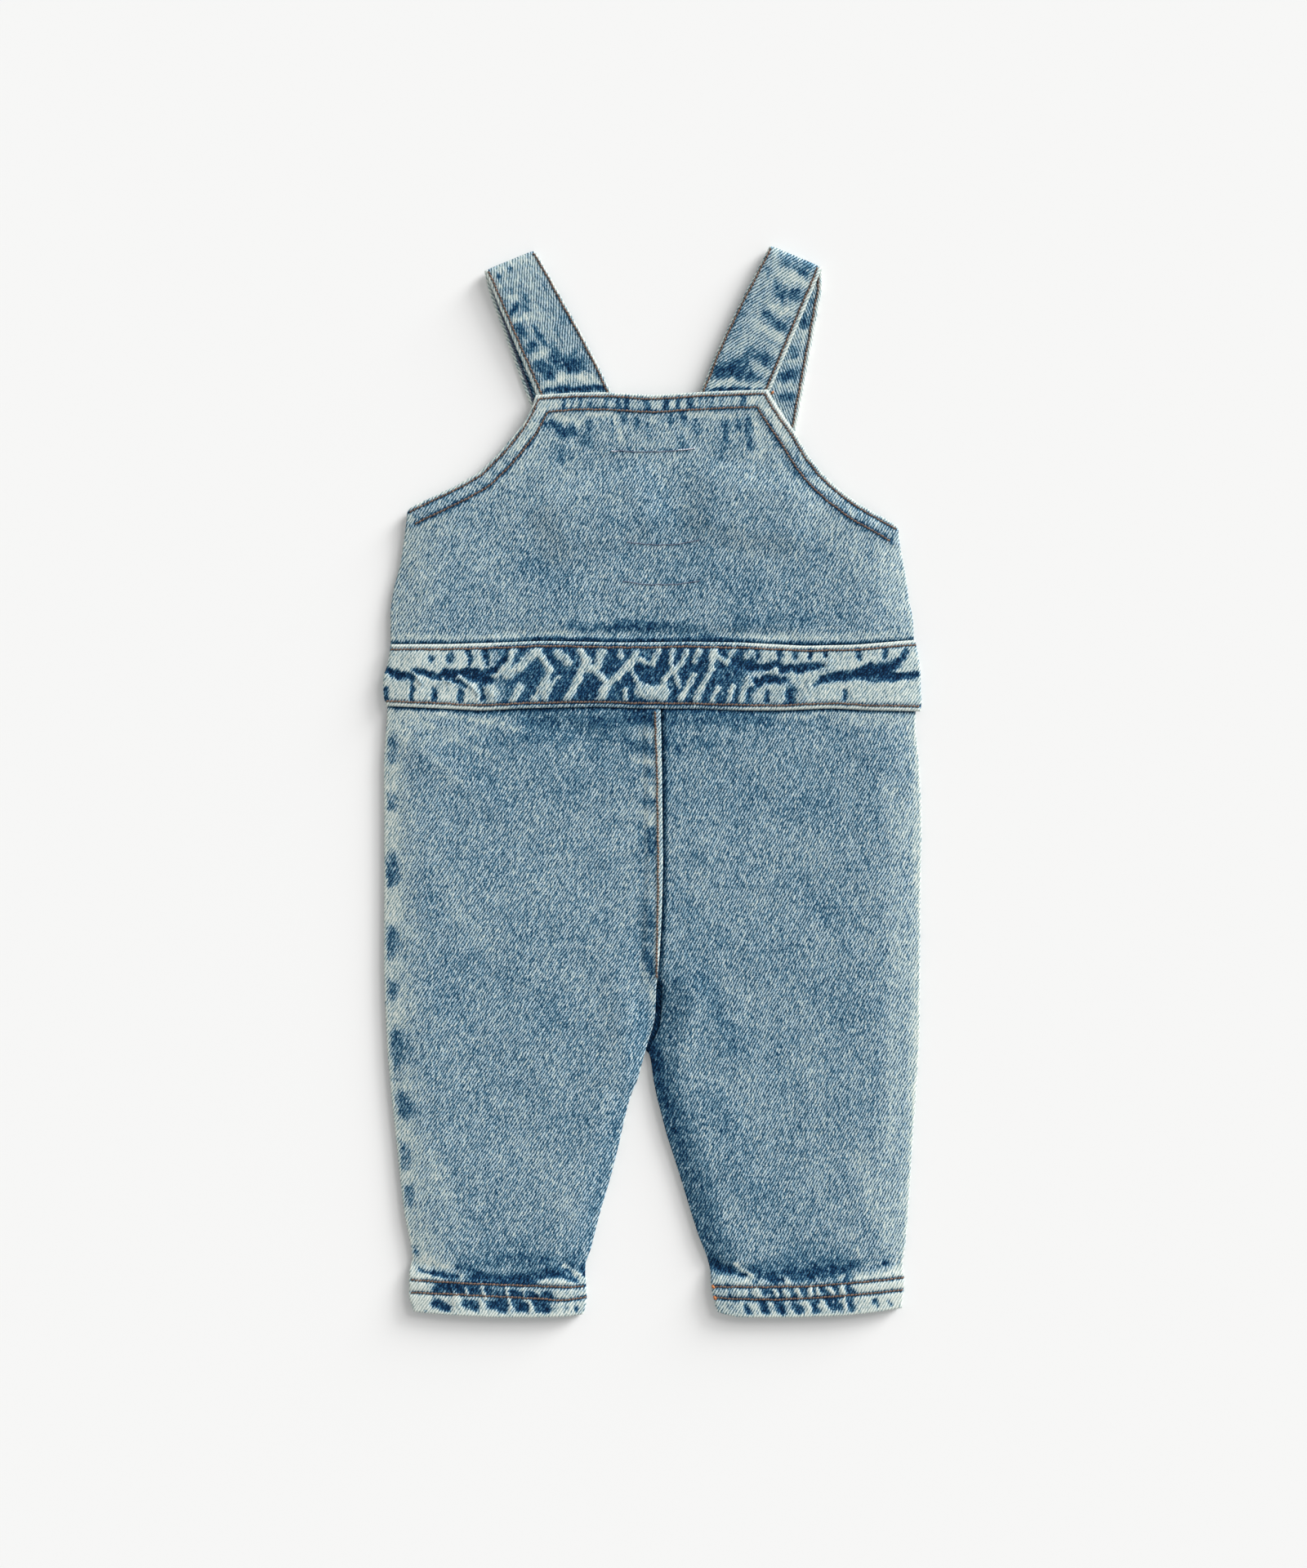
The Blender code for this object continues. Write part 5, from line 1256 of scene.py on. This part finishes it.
def laid_piece(name, x, y, face, border, material):
    """A panel of the upper layer, with its edges rounded."""
    height, thickness, tone = face(x, y)
    drop = rounded(border, thickness)
    upper = np.stack([x, y, height - drop], axis=-1)
    lower = np.stack([x, y, height - thickness + drop], axis=-1)
    weave = weave_places(x, y, *BOLT[name])
    tones = (tone, np.full(x.shape, INSIDE_TONE))
    return shell(f"{name}_cloth", upper, lower, weave, tones, material)


def back_bib(material):
    """Back bib, tucked under the waistband."""
    levels = spread(BIB_LOW, BIB_HIGH, BIB_STEP)
    x, y = panel_grid(levels, BIB_LEFT, BIB_RIGHT, BIB_COLUMNS)
    y = fit_ends(x, y, shifted(BAND_TOP, -TUCK), BIB_TOP, 30.0)
    outline = distance_to_line(BIB_OUTLINE, x, y)
    side = np.minimum(x - lookup(BIB_LEFT, y), lookup(BIB_RIGHT, y) - x)
    border = np.minimum(np.minimum(outline, np.maximum(side, 0.0)), from_sides(x))
    border = np.minimum(border, y[-1:] - y)
    return laid_piece("back_bib", x, y, bib_face, border, material)


def band_grid(bottom_edge, top_edge, inset, step):
    """Grid of a waistband between its edges and ends."""
    levels = spread(BAND_LOW, BAND_HIGH, step)
    rows = []
    for level in levels:
        share = (level - levels[0]) / (levels[-1] - levels[0])
        left = lookup(BAND_SIDES, level, 1) + inset
        right = lookup(BAND_SIDES, level, 2) - inset
        row = spread(left, right, 0.0, count=int(BAND_LENGTH / step))
        low = lookup(bottom_edge, row)
        high = lookup(top_edge, row)
        rows.append((row, low + share * (high - low)))
    return gridded(rows)


def back_waistband(material):
    """Back waistband over the bib and the legs."""
    x, y = band_grid(BAND_BOTTOM, BAND_TOP, 0.0, BAND_STEP)
    return laid_piece("back_waistband", x, y, band_face, from_rim(x, y), material)


def leg_levels(step):
    """Heights of a leg's rows, closer at the hem."""
    first = [LEG_LOW + inset for inset in ROUND_STEPS[:-1]]
    hem = list(np.arange(LEG_LOW + ROUND_STEPS[-1], HEM_GRID_TOP, HEM_STEP))
    rest = list(np.arange(HEM_GRID_TOP, LEG_HIGH - 1.0, step))
    return first + hem + rest + [LEG_HIGH]


def back_leg(side, material):
    """Back leg panel, tucked under the waistband, and under the lap on the right."""
    leg = LEGS[side]
    if side == "left":
        x, y = panel_grid(leg_levels(LEG_STEP), leg["outer"], leg["inner"], LEG_COLUMNS)
    else:
        seam_share = 1.0 - fade((leg["inner"][:, 0] - CROTCH + 2.0) / 6.0)
        inner = shifted(leg["inner"], 0.0)
        inner[:, 1] -= TUCK * seam_share
        x, y = panel_grid(leg_levels(LEG_STEP), inner, leg["outer"], LEG_COLUMNS)
    y = fit_ends(x, y, leg["hem"], shifted(BAND_BOTTOM, TUCK), 26.0)
    border = np.minimum(from_sides(x), y - y[:1])
    return laid_piece(f"back_leg_{side}", x, y, partial(leg_face, side), border, material)


def flat_piece(name, x, y, bottom, thickness, tone, rows, material):
    """A panel of the lower layer, whose outer face is its underside."""
    border = from_rim(x, y)
    drop = rounded(border, thickness)
    upper = np.stack([x, y, bottom + thickness - drop], axis=-1)
    edge_tone = tone + 0.7 * fade((border - 0.8) / 1.0)
    for row in rows:
        away = distance_to_line(row, x, y)
        drop = drop - groove(away)
        edge_tone = edge_tone - painted_shade_by_row(away)
    lower = np.stack([x, y, bottom + drop], axis=-1)
    weave = weave_places(-x, y, *BOLT[name])
    # Painted shade: the inside face of a front leg is darkened in the gap between the legs below the
    # crotch
    painted_gap_shade = fade((np.abs(x) - 8.0) / 2.0) * fade((np.abs(y + 116.0) - 22.0) / 4.0)
    inside = INSIDE_TONE - 2.6 * painted_gap_shade
    return shell(f"{name}_cloth", upper, lower, weave, (inside, edge_tone), material)


def front_bib_face(x, y):
    """Height of the underside and thickness of the front bib."""
    doubled = turned(distance_to_line(FRONT_TOP_EDGE, x, y), TURNED_WIDTH)
    return front_lift(x, y), thickened(doubled)


def front_bib(material):
    """Front bib, which lies on the floor and rises over the strap ends."""
    low = FRONT_BAND_TOP[0][1] + 0.5
    rows = []
    for share in np.linspace(0.0, 1.0, FRONT_BIB_ROW_COUNT):
        y_side = low + share * (FRONT_SIDE_TOP - low)
        left = lookup(BIB_LEFT, y_side) + FRONT_INSET
        right = lookup(BIB_RIGHT, y_side) - FRONT_INSET
        row = spread(left, right, 0.0, count=FRONT_BIB_COLUMNS)
        rows.append((row, low + share * (lookup(FRONT_TOP_EDGE, row) - low)))
    x, y = gridded(rows)
    bottom, thickness = front_bib_face(x, y)
    edge = distance_to_line(FRONT_TOP_EDGE, x, y)
    tone = BODY_TONE + 0.25 * fade((edge - 7.0) / 2.0)
    tone = tone + 0.35 * noise(x, y, 5.0, 61) * fade((edge - 8.0) / 2.0)
    return flat_piece("front_bib", x, y, bottom, thickness, tone, FRONT_BIB_ROWS, material)


def front_waistband(material):
    """Front waistband, flat on the floor."""
    x, y = band_grid(FRONT_BAND_BOTTOM, FRONT_BAND_TOP, FRONT_INSET, FRONT_BAND_STEP)
    thickness = np.full(x.shape, BAND_CLOTH)
    tone = -0.1 + 0.7 * noise(x * 1.6, y * 0.5, 3.0, 62)
    bottom = np.zeros(x.shape)
    return flat_piece("front_waistband", x, y, bottom, thickness, tone, FRONT_BAND_ROWS, material)


def front_leg(side, material):
    """Front leg panel, flat on the floor, with its turned hem."""
    leg = LEGS[side]
    left, right = shifted(leg["outer"], FRONT_INSET), shifted(leg["inner"], -FRONT_INSET)
    if side == "right":
        left, right = shifted(leg["inner"], FRONT_INSET), shifted(leg["outer"], -FRONT_INSET)
        # Widened across the gap between the legs as a dark sheet, standing in for the shade in the gap
        beside = lookup(LEGS["left"]["inner"], left[:, 0]) - FRONT_INSET + 0.1
        near = left[:, 0] > CROTCH_SHADE_FILL_END
        left[:, 1] = np.where(near, np.minimum(left[:, 1], beside), left[:, 1])
    x, y = panel_grid(leg_levels(FRONT_LEG_STEP), left, right, FRONT_LEG_COLUMNS)
    y = fit_ends(x, y, leg["hem"], shifted(FRONT_BAND_BOTTOM, -0.5), 26.0)
    above_hem = y - lookup(leg["hem"], x)
    thickness = thickened(turned(above_hem, HEM_WIDTH))
    tone = BODY_TONE + 0.5 * fade((above_hem - 16.5) / 3.0)
    tone = tone + 1.1 * noise(x * 1.5, y * 0.4, 5.0, 63) * fade((above_hem - 18.0) / 8.0)
    bottom = np.zeros(x.shape)
    return flat_piece(f"front_leg_{side}", x, y, bottom, thickness, tone, leg["rows"], material)


def strap_sections(upper, fold, lower_run):
    """Close sections of a strap from its root to its tip, and the length along it."""
    x, y, _, length = lower_run
    _, _, along = strap_frame(lower_run)
    sections = [list(section) for section in upper + fold]
    for reach in np.linspace(6.0, length, 28):
        centre_x, centre_y = x + along[0] * reach, y + along[1] * reach
        lift = BUTTON_LIFT * float(button_bump(lower_run, centre_x, centre_y))
        side_x, side_y = -along[1] * STRAP_HALF_WIDTH, along[0] * STRAP_HALF_WIDTH
        sections.append([centre_x - side_x, centre_y - side_y, centre_x + side_x,
                         centre_y + side_y, lift + STRAP_CLOTH / 2.0])
    sections = np.array(sections)
    middle = np.stack([(sections[:, 0] + sections[:, 2]) / 2.0,
                       (sections[:, 1] + sections[:, 3]) / 2.0, sections[:, 4]], axis=1)
    steps = np.linalg.norm(np.diff(middle, axis=0), axis=1)
    places = np.concatenate([[0.0], np.cumsum(steps)])
    table = np.column_stack([places, sections])
    return softened(table, 1.5, 0.75)


class Strap:
    """A strap's faces, by distance along it and across it."""

    def __init__(self, upper, fold, lower_run):
        self.table = strap_sections(upper, fold, lower_run)
        self.length = self.table[-1, 0]
        highest = np.argmax(self.table[:, 2] + self.table[:, 4])
        self.fold_place = self.table[highest, 0]

    def frame(self, along, share):
        """Point on the middle surface and the surface's normal."""
        left = np.stack([lookup(self.table, along, k) for k in (1, 2, 5)], axis=-1)
        right = np.stack([lookup(self.table, along, k) for k in (3, 4, 5)], axis=-1)
        across = right - left
        point = left + across * share[..., None]
        ahead = self.middle(along + 0.4) - self.middle(along - 0.4)
        normal = np.cross(across, ahead)
        normal /= np.linalg.norm(normal, axis=-1)[..., None]
        return point, normal

    def middle(self, along):
        """Point on the strap's middle line."""
        x = (lookup(self.table, along, 1) + lookup(self.table, along, 3)) / 2.0
        y = (lookup(self.table, along, 2) + lookup(self.table, along, 4)) / 2.0
        return np.stack([x, y, lookup(self.table, along, 5)], axis=-1)

    def face_offset(self, inside, from_row):
        """Half thickness of the strap at a distance from its edge and from a stitch row."""
        return STRAP_CLOTH / 2.0 - rounded(inside, STRAP_CLOTH) + groove(from_row) * 1.2


def strap(name, shape, row_shares, marks, material):
    """A doubled strip: upper run, shoulder fold and lower run in one shell."""
    tilt, offset = BOLT[name]
    along_places = np.arange(0.0, shape.length, STRAP_ALONG_STEP)
    shares = spread(0.0, STRAP_WIDTH, STRAP_ACROSS_STEP) / STRAP_WIDTH
    along, share = np.meshgrid(along_places, shares, indexing="ij")
    point, normal = shape.frame(along, share)
    inside = np.minimum(share, 1.0 - share) * STRAP_WIDTH
    from_row = np.min([np.abs(share - row) for row in row_shares], axis=0) * STRAP_WIDTH
    half = shape.face_offset(inside, from_row)
    outer = point + normal * half[..., None]
    inner = point - normal * half[..., None]
    x, y = point[..., 0], point[..., 1]
    on_upper = along < shape.fold_place
    puckers = noise(along, inside * 0.6, 4.2, 71 + int(offset)) * fade((inside - 4.0) / 4.0)
    outside = np.abs(share - 0.5) > np.where(share < 0.5, 0.5 - row_shares[0], row_shares[1] - 0.5)
    near_fold = fade(np.abs(along - shape.fold_place + 2.0) / 9.0)
    tone = STRAP_TONE + PUCKER_TONE * puckers + STRAP_FOLD_TONE * near_fold
    tone = tone + np.where(outside, STRAP_EDGE_TONE, 0.0)
    own = np.where(on_upper, wear(marks[0], x, y), wear(marks[1], x, y))
    tone = over(tone, own * np.where(outside, np.where(on_upper, 0.3, 0.0), 1.0))
    # Painted shade beside the strap's stitch rows
    tone = tone - PAINTED_STRAP_ROW_SHADE * np.exp(-(from_row / 0.8) ** 2)
    weave = np.stack([(share - 0.5) * STRAP_WIDTH + offset, along, np.full(x.shape, offset)], axis=-1)
    weave = np.where(on_upper[..., None], weave_places(x, y, tilt, offset), weave)
    return shell(f"{name}_cloth", outer, inner, weave, (tone, tone), material)


def resampled(points, step):
    """Even points along a 3-D line, and their distances along it."""
    points = np.array(points, dtype=float)
    lengths = np.concatenate([[0.0], np.cumsum(np.linalg.norm(np.diff(points, axis=0), axis=1))])
    count = max(int(lengths[-1] / step), 2)
    places = np.linspace(0.0, lengths[-1], count + 1)
    return np.stack([np.interp(places, lengths, points[:, k]) for k in range(3)], axis=1), places


# Each stitch: points round it, and its radius and lift at each section, in radii of the thread
RING = 6
STITCH_RADII = np.array([0.55, 0.95, 1.05, 1.05, 0.95, 0.55])
STITCH_LIFTS = np.array([-0.6, 0.0, 0.25, 0.25, 0.0, -0.6])
STITCH_SLANT = 0.9
STITCH_OVERLAP = 0.02
CAP_QUADS = np.array([[3, 2, 1, 0], [0, 5, 4, 3]])


def stitches(rows, up, radius, pitch, seed):
    """Arrays of a row of stitches for each line of 3-D points; up is the face's side."""
    verts, faces, strands = [], [], []
    start = 0
    random = np.random.default_rng(seed)
    for row in rows:
        fine, places = resampled(row, pitch / 5.0)
        count = max(int(round(places[-1] / pitch)), 1)
        for index in range(count):
            low = places[-1] * (index - STITCH_OVERLAP) / count
            high = places[-1] * (index + 1.0 + STITCH_OVERLAP) / count
            spots = np.linspace(low, high, len(STITCH_RADII))
            line = np.stack([np.interp(spots, places, fine[:, k]) for k in range(3)], axis=1)
            ahead = line[-1] - line[0]
            ahead /= max(np.linalg.norm(ahead), 1e-9)
            side = np.cross(up, ahead)
            side /= max(np.linalg.norm(side), 1e-9)
            sway = side * (np.linspace(-0.5, 0.5, len(spots)) * STITCH_SLANT * radius)[:, None]
            line = line + sway + np.array(up) * (STITCH_LIFTS * radius)[:, None]
            angles = np.linspace(0.0, math.tau, RING, endpoint=False)
            rim = np.cos(angles)[:, None] * side + np.sin(angles)[:, None] * np.array(up)
            ring = line[:, None, :] + rim[None] * (STITCH_RADII * radius)[:, None, None]
            verts.append(ring.reshape(-1, 3))
            luck = random.uniform(0.0, 40.0)
            strand = np.stack([
                np.repeat(spots, RING), np.tile(angles / math.tau, len(spots)),
                np.full(len(spots) * RING, luck),
            ], axis=1)
            strands.append(strand)
            number = np.arange(len(spots) * RING).reshape(len(spots), RING) + start
            after = np.roll(number, -1, axis=1)
            quads = np.stack([number[:-1], after[:-1], after[1:], number[1:]], axis=-1)
            faces.append(quads.reshape(-1, 4))
            for cap, order in ((number[0], 1), (number[-1], -1)):
                cap = cap[::order]
                faces.append(cap[CAP_QUADS])
            start += len(spots) * RING
    return np.concatenate(verts), np.concatenate(faces), np.concatenate(strands)


def sew(name, rows, up, material, radius=THREAD, pitch=STITCH, seed=5):
    """Stitch rows as one piece of thread."""
    verts, faces, strands = stitches(rows, np.array(up, dtype=float), radius, pitch, seed)
    return make_object(name, verts, faces, {"strand": strands}, material)


def on_face(face, line, lift=0.12):
    """A line of x and y laid on a panel's upper face, with a little sway."""
    flat, _ = resampled([(x, y, 0.0) for x, y in line], 0.8)
    x = flat[:, 0] + ROW_SWAY * noise(flat[:, 0], flat[:, 1], 3.1, 81)
    y = flat[:, 1] + ROW_SWAY * noise(flat[:, 0], flat[:, 1], 3.1, 82)
    height = face(x, y)[0]
    return np.stack([x, y, height + lift], axis=1)


def curve(points):
    """A close smooth line through points given by x and y, with x rising."""
    return [tuple(row) for row in softened(points, 5.0, 1.0)]


def clipped(line, low, high):
    """The part of a line whose x lies between two values."""
    return [(x, y) for x, y in line if low <= x <= high]


def declare(piece, nodes, with_pieces):
    """Puts a cloth piece in the model in place of its CAD nodes."""
    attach(piece, "root")
    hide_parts(*nodes)
    for trim in with_pieces:
        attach(trim, "root")


def bib_pieces(cloth, thread, faint, light):
    """Back bib with its stitch rows, and the three faint rows where a label was tacked."""
    piece = back_bib(cloth)
    rows = [on_face(bib_face, row, 0.1) for row in BIB_ROWS]
    trim = sew("back_bib_stitches", rows, UP, thread, seed=6)
    tacks = [
        [(-20.5, 161.5), (-8.0, 160.6), (6.0, 160.9), (20.5, 162.3)],
        [(-12.8, 116.6), (0.0, 115.2), (12.0, 115.6), (22.8, 117.6)],
        [(-14.8, 97.4), (-2.0, 95.8), (12.0, 96.0), (23.6, 97.8)],
    ]
    faint_rows = [on_face(bib_face, curve(row), 0.08) for row in tacks]
    tack = sew("back_bib_tack_lines", faint_rows, UP, faint, 0.26, STITCH, 7)
    knots = [[(-20.5, 161.4), (-17.6, 161.0)], [(12.0, 161.6), (20.8, 162.4)]]
    pale_rows = [on_face(bib_face, knot, 0.25) for knot in knots]
    pale = sew("back_bib_tack_knots", pale_rows, UP, light, 0.34, 1.3, 18)
    declare(piece, ["back_bib"],
            [trim, tack, pale])


def band_pieces(cloth, thread):
    """Back waistband with a stitch row near each edge."""
    piece = back_waistband(cloth)
    upper = [(x, y - BAND_ROW) for x, y in clipped(BAND_TOP, -128.6, 129.4)]
    lower = [(x, y + BAND_ROW) for x, y in clipped(BAND_BOTTOM, -130.8, 130.8)]
    rows = [on_face(band_face, upper), on_face(band_face, lower)]
    trim = sew("back_waistband_stitches", rows, UP, thread, seed=8)
    declare(piece, ["back_waistband"],
            [trim])


def leg_pieces(side, cloth, thread, bright):
    """Back leg panel with its hem rows, and the centre seam's row on the left one."""
    piece = back_leg(side, cloth)
    face = partial(leg_face, side)
    rows = [on_face(face, curve(row)) for row in LEGS[side]["rows"]]
    trims = []
    if side == "left":
        seam = [(1.1, 34.0), (2.1, 4.7), (2.7, -41.7), (1.9, -89.7), (1.9, -96.5)]
        rows.append(on_face(face, seam))
    else:
        ends = [[(29.6, -247.0), (29.6, -248.9)], [(30.4, -252.4), (30.4, -254.4)]]
        blobs = [on_face(face, end, 0.3) for end in ends]
        trims.append(sew("hem_right_bartacks", blobs, UP, bright, 0.75, 2.2, 9))
    trims.append(sew(f"back_leg_{side}_stitches", rows, UP, thread, seed=10))
    declare(piece, [f"back_leg_{side}"],
            trims)


def strap_pieces(side, cloth, thread, bright, back_row_thread):
    """Strap with a stitch row near each edge."""
    name = f"strap_{side}"
    shape = Strap(*STRAPS[side]["runs"])
    row_shares = [STRAP_ROW / STRAP_WIDTH, 1.0 - STRAP_NECK_ROW / STRAP_WIDTH]
    if side == "right":
        row_shares = [1.0 - share for share in reversed(row_shares)]
    piece = strap(name, shape, row_shares, STRAPS[side]["marks"], cloth)
    rows_up, rows_down, rows_back = [], [], []
    runs = ((8.0, shape.fold_place - 0.8, True), (shape.fold_place + 6.0, shape.length - 2.0, False))
    for low, high, on_upper in runs:
        along = np.arange(low, high, 0.8)
        for across in row_shares:
            sway = ROW_SWAY / STRAP_WIDTH * noise(along, along + 90.0 * across, 3.1, 83)
            point, normal = shape.frame(along, across + sway)
            if on_upper:
                rows_up.append(point + normal * (STRAP_CLOTH / 2.0 - 0.1))
            else:
                rows_down.append(point + normal * (STRAP_CLOTH / 2.0 - UNDER_THREAD))
                rows_back.append(point - normal * (STRAP_CLOTH / 2.0 - 0.1))
    trims = [
        sew(f"{name}_stitches_upper", rows_up, UP, thread, seed=12),
        # On the left strap this thread is dark, as painted shade on the lower run under the upper run
        sew(f"{name}_stitches_back", rows_back, UP, back_row_thread, seed=19),
        sew(f"{name}_stitches_lower", rows_down, DOWN, thread, LOWER_THREAD, STITCH, 13),
    ]
    if side == "right":
        spot = [[(57.8, 190.1, 3.6), (59.4, 189.9, 3.6)]]
        trims.append(sew("strap_right_bartack", spot, UP, bright, 0.8, 2.2, 14))
    declare(piece, [name],
            trims)


def front_pieces(cloth, band_cloth, thread):
    """Front bib, waistband and legs, which lie face down on the floor."""
    bib = front_bib(cloth)
    rows = []
    for line in FRONT_BIB_ROWS:
        flat, _ = resampled([(x, y, 0.0) for x, y in line], 0.8)
        bottom, _ = front_bib_face(flat[:, 0], flat[:, 1])
        rows.append(np.stack([flat[:, 0], flat[:, 1], bottom + UNDER_THREAD], axis=1))
    trim = sew("front_bib_stitches", rows, DOWN, thread, LOWER_THREAD, STITCH, 15)
    declare(bib, ["front_bib"], [trim])
    band = front_waistband(band_cloth)
    rows = [[(x, y, UNDER_THREAD) for x, y in row] for row in FRONT_BAND_ROWS]
    trim = sew("front_waistband_stitches", rows, DOWN, thread, LOWER_THREAD, STITCH, 16)
    declare(band, ["front_waistband"], [trim])
    for side in LEGS:
        leg = front_leg(side, cloth)
        rows = []
        for row in LEGS[side]["rows"]:
            rows.append([(x, y, UNDER_THREAD) for x, y in curve(row)])
        trim = sew(f"front_leg_{side}_stitches", rows, DOWN, thread, LOWER_THREAD, STITCH, 17)
        declare(leg, [f"front_leg_{side}"], [trim])


def studio():
    """Pale floor, soft light from the upper right and the camera straight above."""
    scene = bpy.context.scene
    scene.view_settings.view_transform = "Standard"
    bpy.ops.mesh.primitive_plane_add(size=FLOOR_SIZE, location=(0.0, 0.0, FLOOR_LEVEL))
    floor = bpy.context.object
    floor.name = "floor"
    paper, _, _ = new_material("paper", {
        "Base Color": (0.905, 0.905, 0.9, 1.0), "Roughness": 0.95, "Specular IOR Level": 0.1,
    })
    floor.data.materials.append(paper)
    world = bpy.data.worlds.new("studio")
    world.use_nodes = True
    sky = world.node_tree.nodes["Background"]
    sky.inputs["Color"].default_value = (1.0, 1.0, 0.995, 1.0)
    sky.inputs["Strength"].default_value = WORLD_LIGHT
    scene.world = world
    for name, place, size, power in LAMPS:
        data = bpy.data.lights.new(name, "SUN")
        data.angle = math.radians(size)
        data.energy = power
        lamp = bpy.data.objects.new(name, data)
        lamp.location = place
        aim = math.atan2(place[1], place[0])
        tilt = math.atan2(math.hypot(place[0], place[1]), place[2])
        lamp.rotation_euler = (0.0, tilt, aim)
        bpy.context.collection.objects.link(lamp)
    camera_data = bpy.data.cameras.new("camera")
    camera_data.lens = CAMERA_LENS
    camera_data.sensor_width = 36.0
    camera = bpy.data.objects.new("camera", camera_data)
    camera.location = CAMERA_PLACE
    bpy.context.collection.objects.link(camera)
    scene.camera = camera


# Studio, in metres and, for the lens, in millimetres
FLOOR_SIZE = 8.0
FLOOR_LEVEL = -0.00012
CAMERA_PLACE = (0.0004, -0.0017, 1.4973)
CAMERA_LENS = 70.0
WORLD_LIGHT = 0.5
# Lamps: name, place in metres, angle of its disc in degrees, power
LAMPS = [("key", (0.95, 0.85, 0.75), 38.0, 1.9), ("low", (1.0, 0.85, 0.32), 24.0, 2.9)]


def main():
    """Builds every piece, then the studio."""
    cloth = denim("denim", 1.1, 1.85)
    band_cloth = denim("denim_waistband", 1.05, 1.8)
    strap_cloth = denim("denim_strap", 0.8, 2.0)
    thread = thread_material("thread", (54, 42, 38), (136, 106, 86))
    bright = thread_material("thread_orange", (150, 84, 38), (206, 132, 74))
    faint = thread_material("thread_faint", (38, 50, 76), (122, 130, 150))
    metal = metal_material()
    light = thread_material("thread_pale", (168, 174, 188), (222, 224, 228))
    bib_pieces(cloth, thread, faint, light)
    band_pieces(band_cloth, thread)
    leg_pieces("left", cloth, thread, bright)
    leg_pieces("right", cloth, thread, bright)
    # The left strap's back rows take the dark faint thread, as painted shade under its upper run
    strap_pieces("left", strap_cloth, thread, bright, faint)
    strap_pieces("right", strap_cloth, thread, bright, thread)
    front_pieces(cloth, band_cloth, thread)
    for name in ("button_left", "button_right"):
        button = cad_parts[name]
        button.data.materials.clear()
        button.data.materials.append(metal)
    studio()


main()
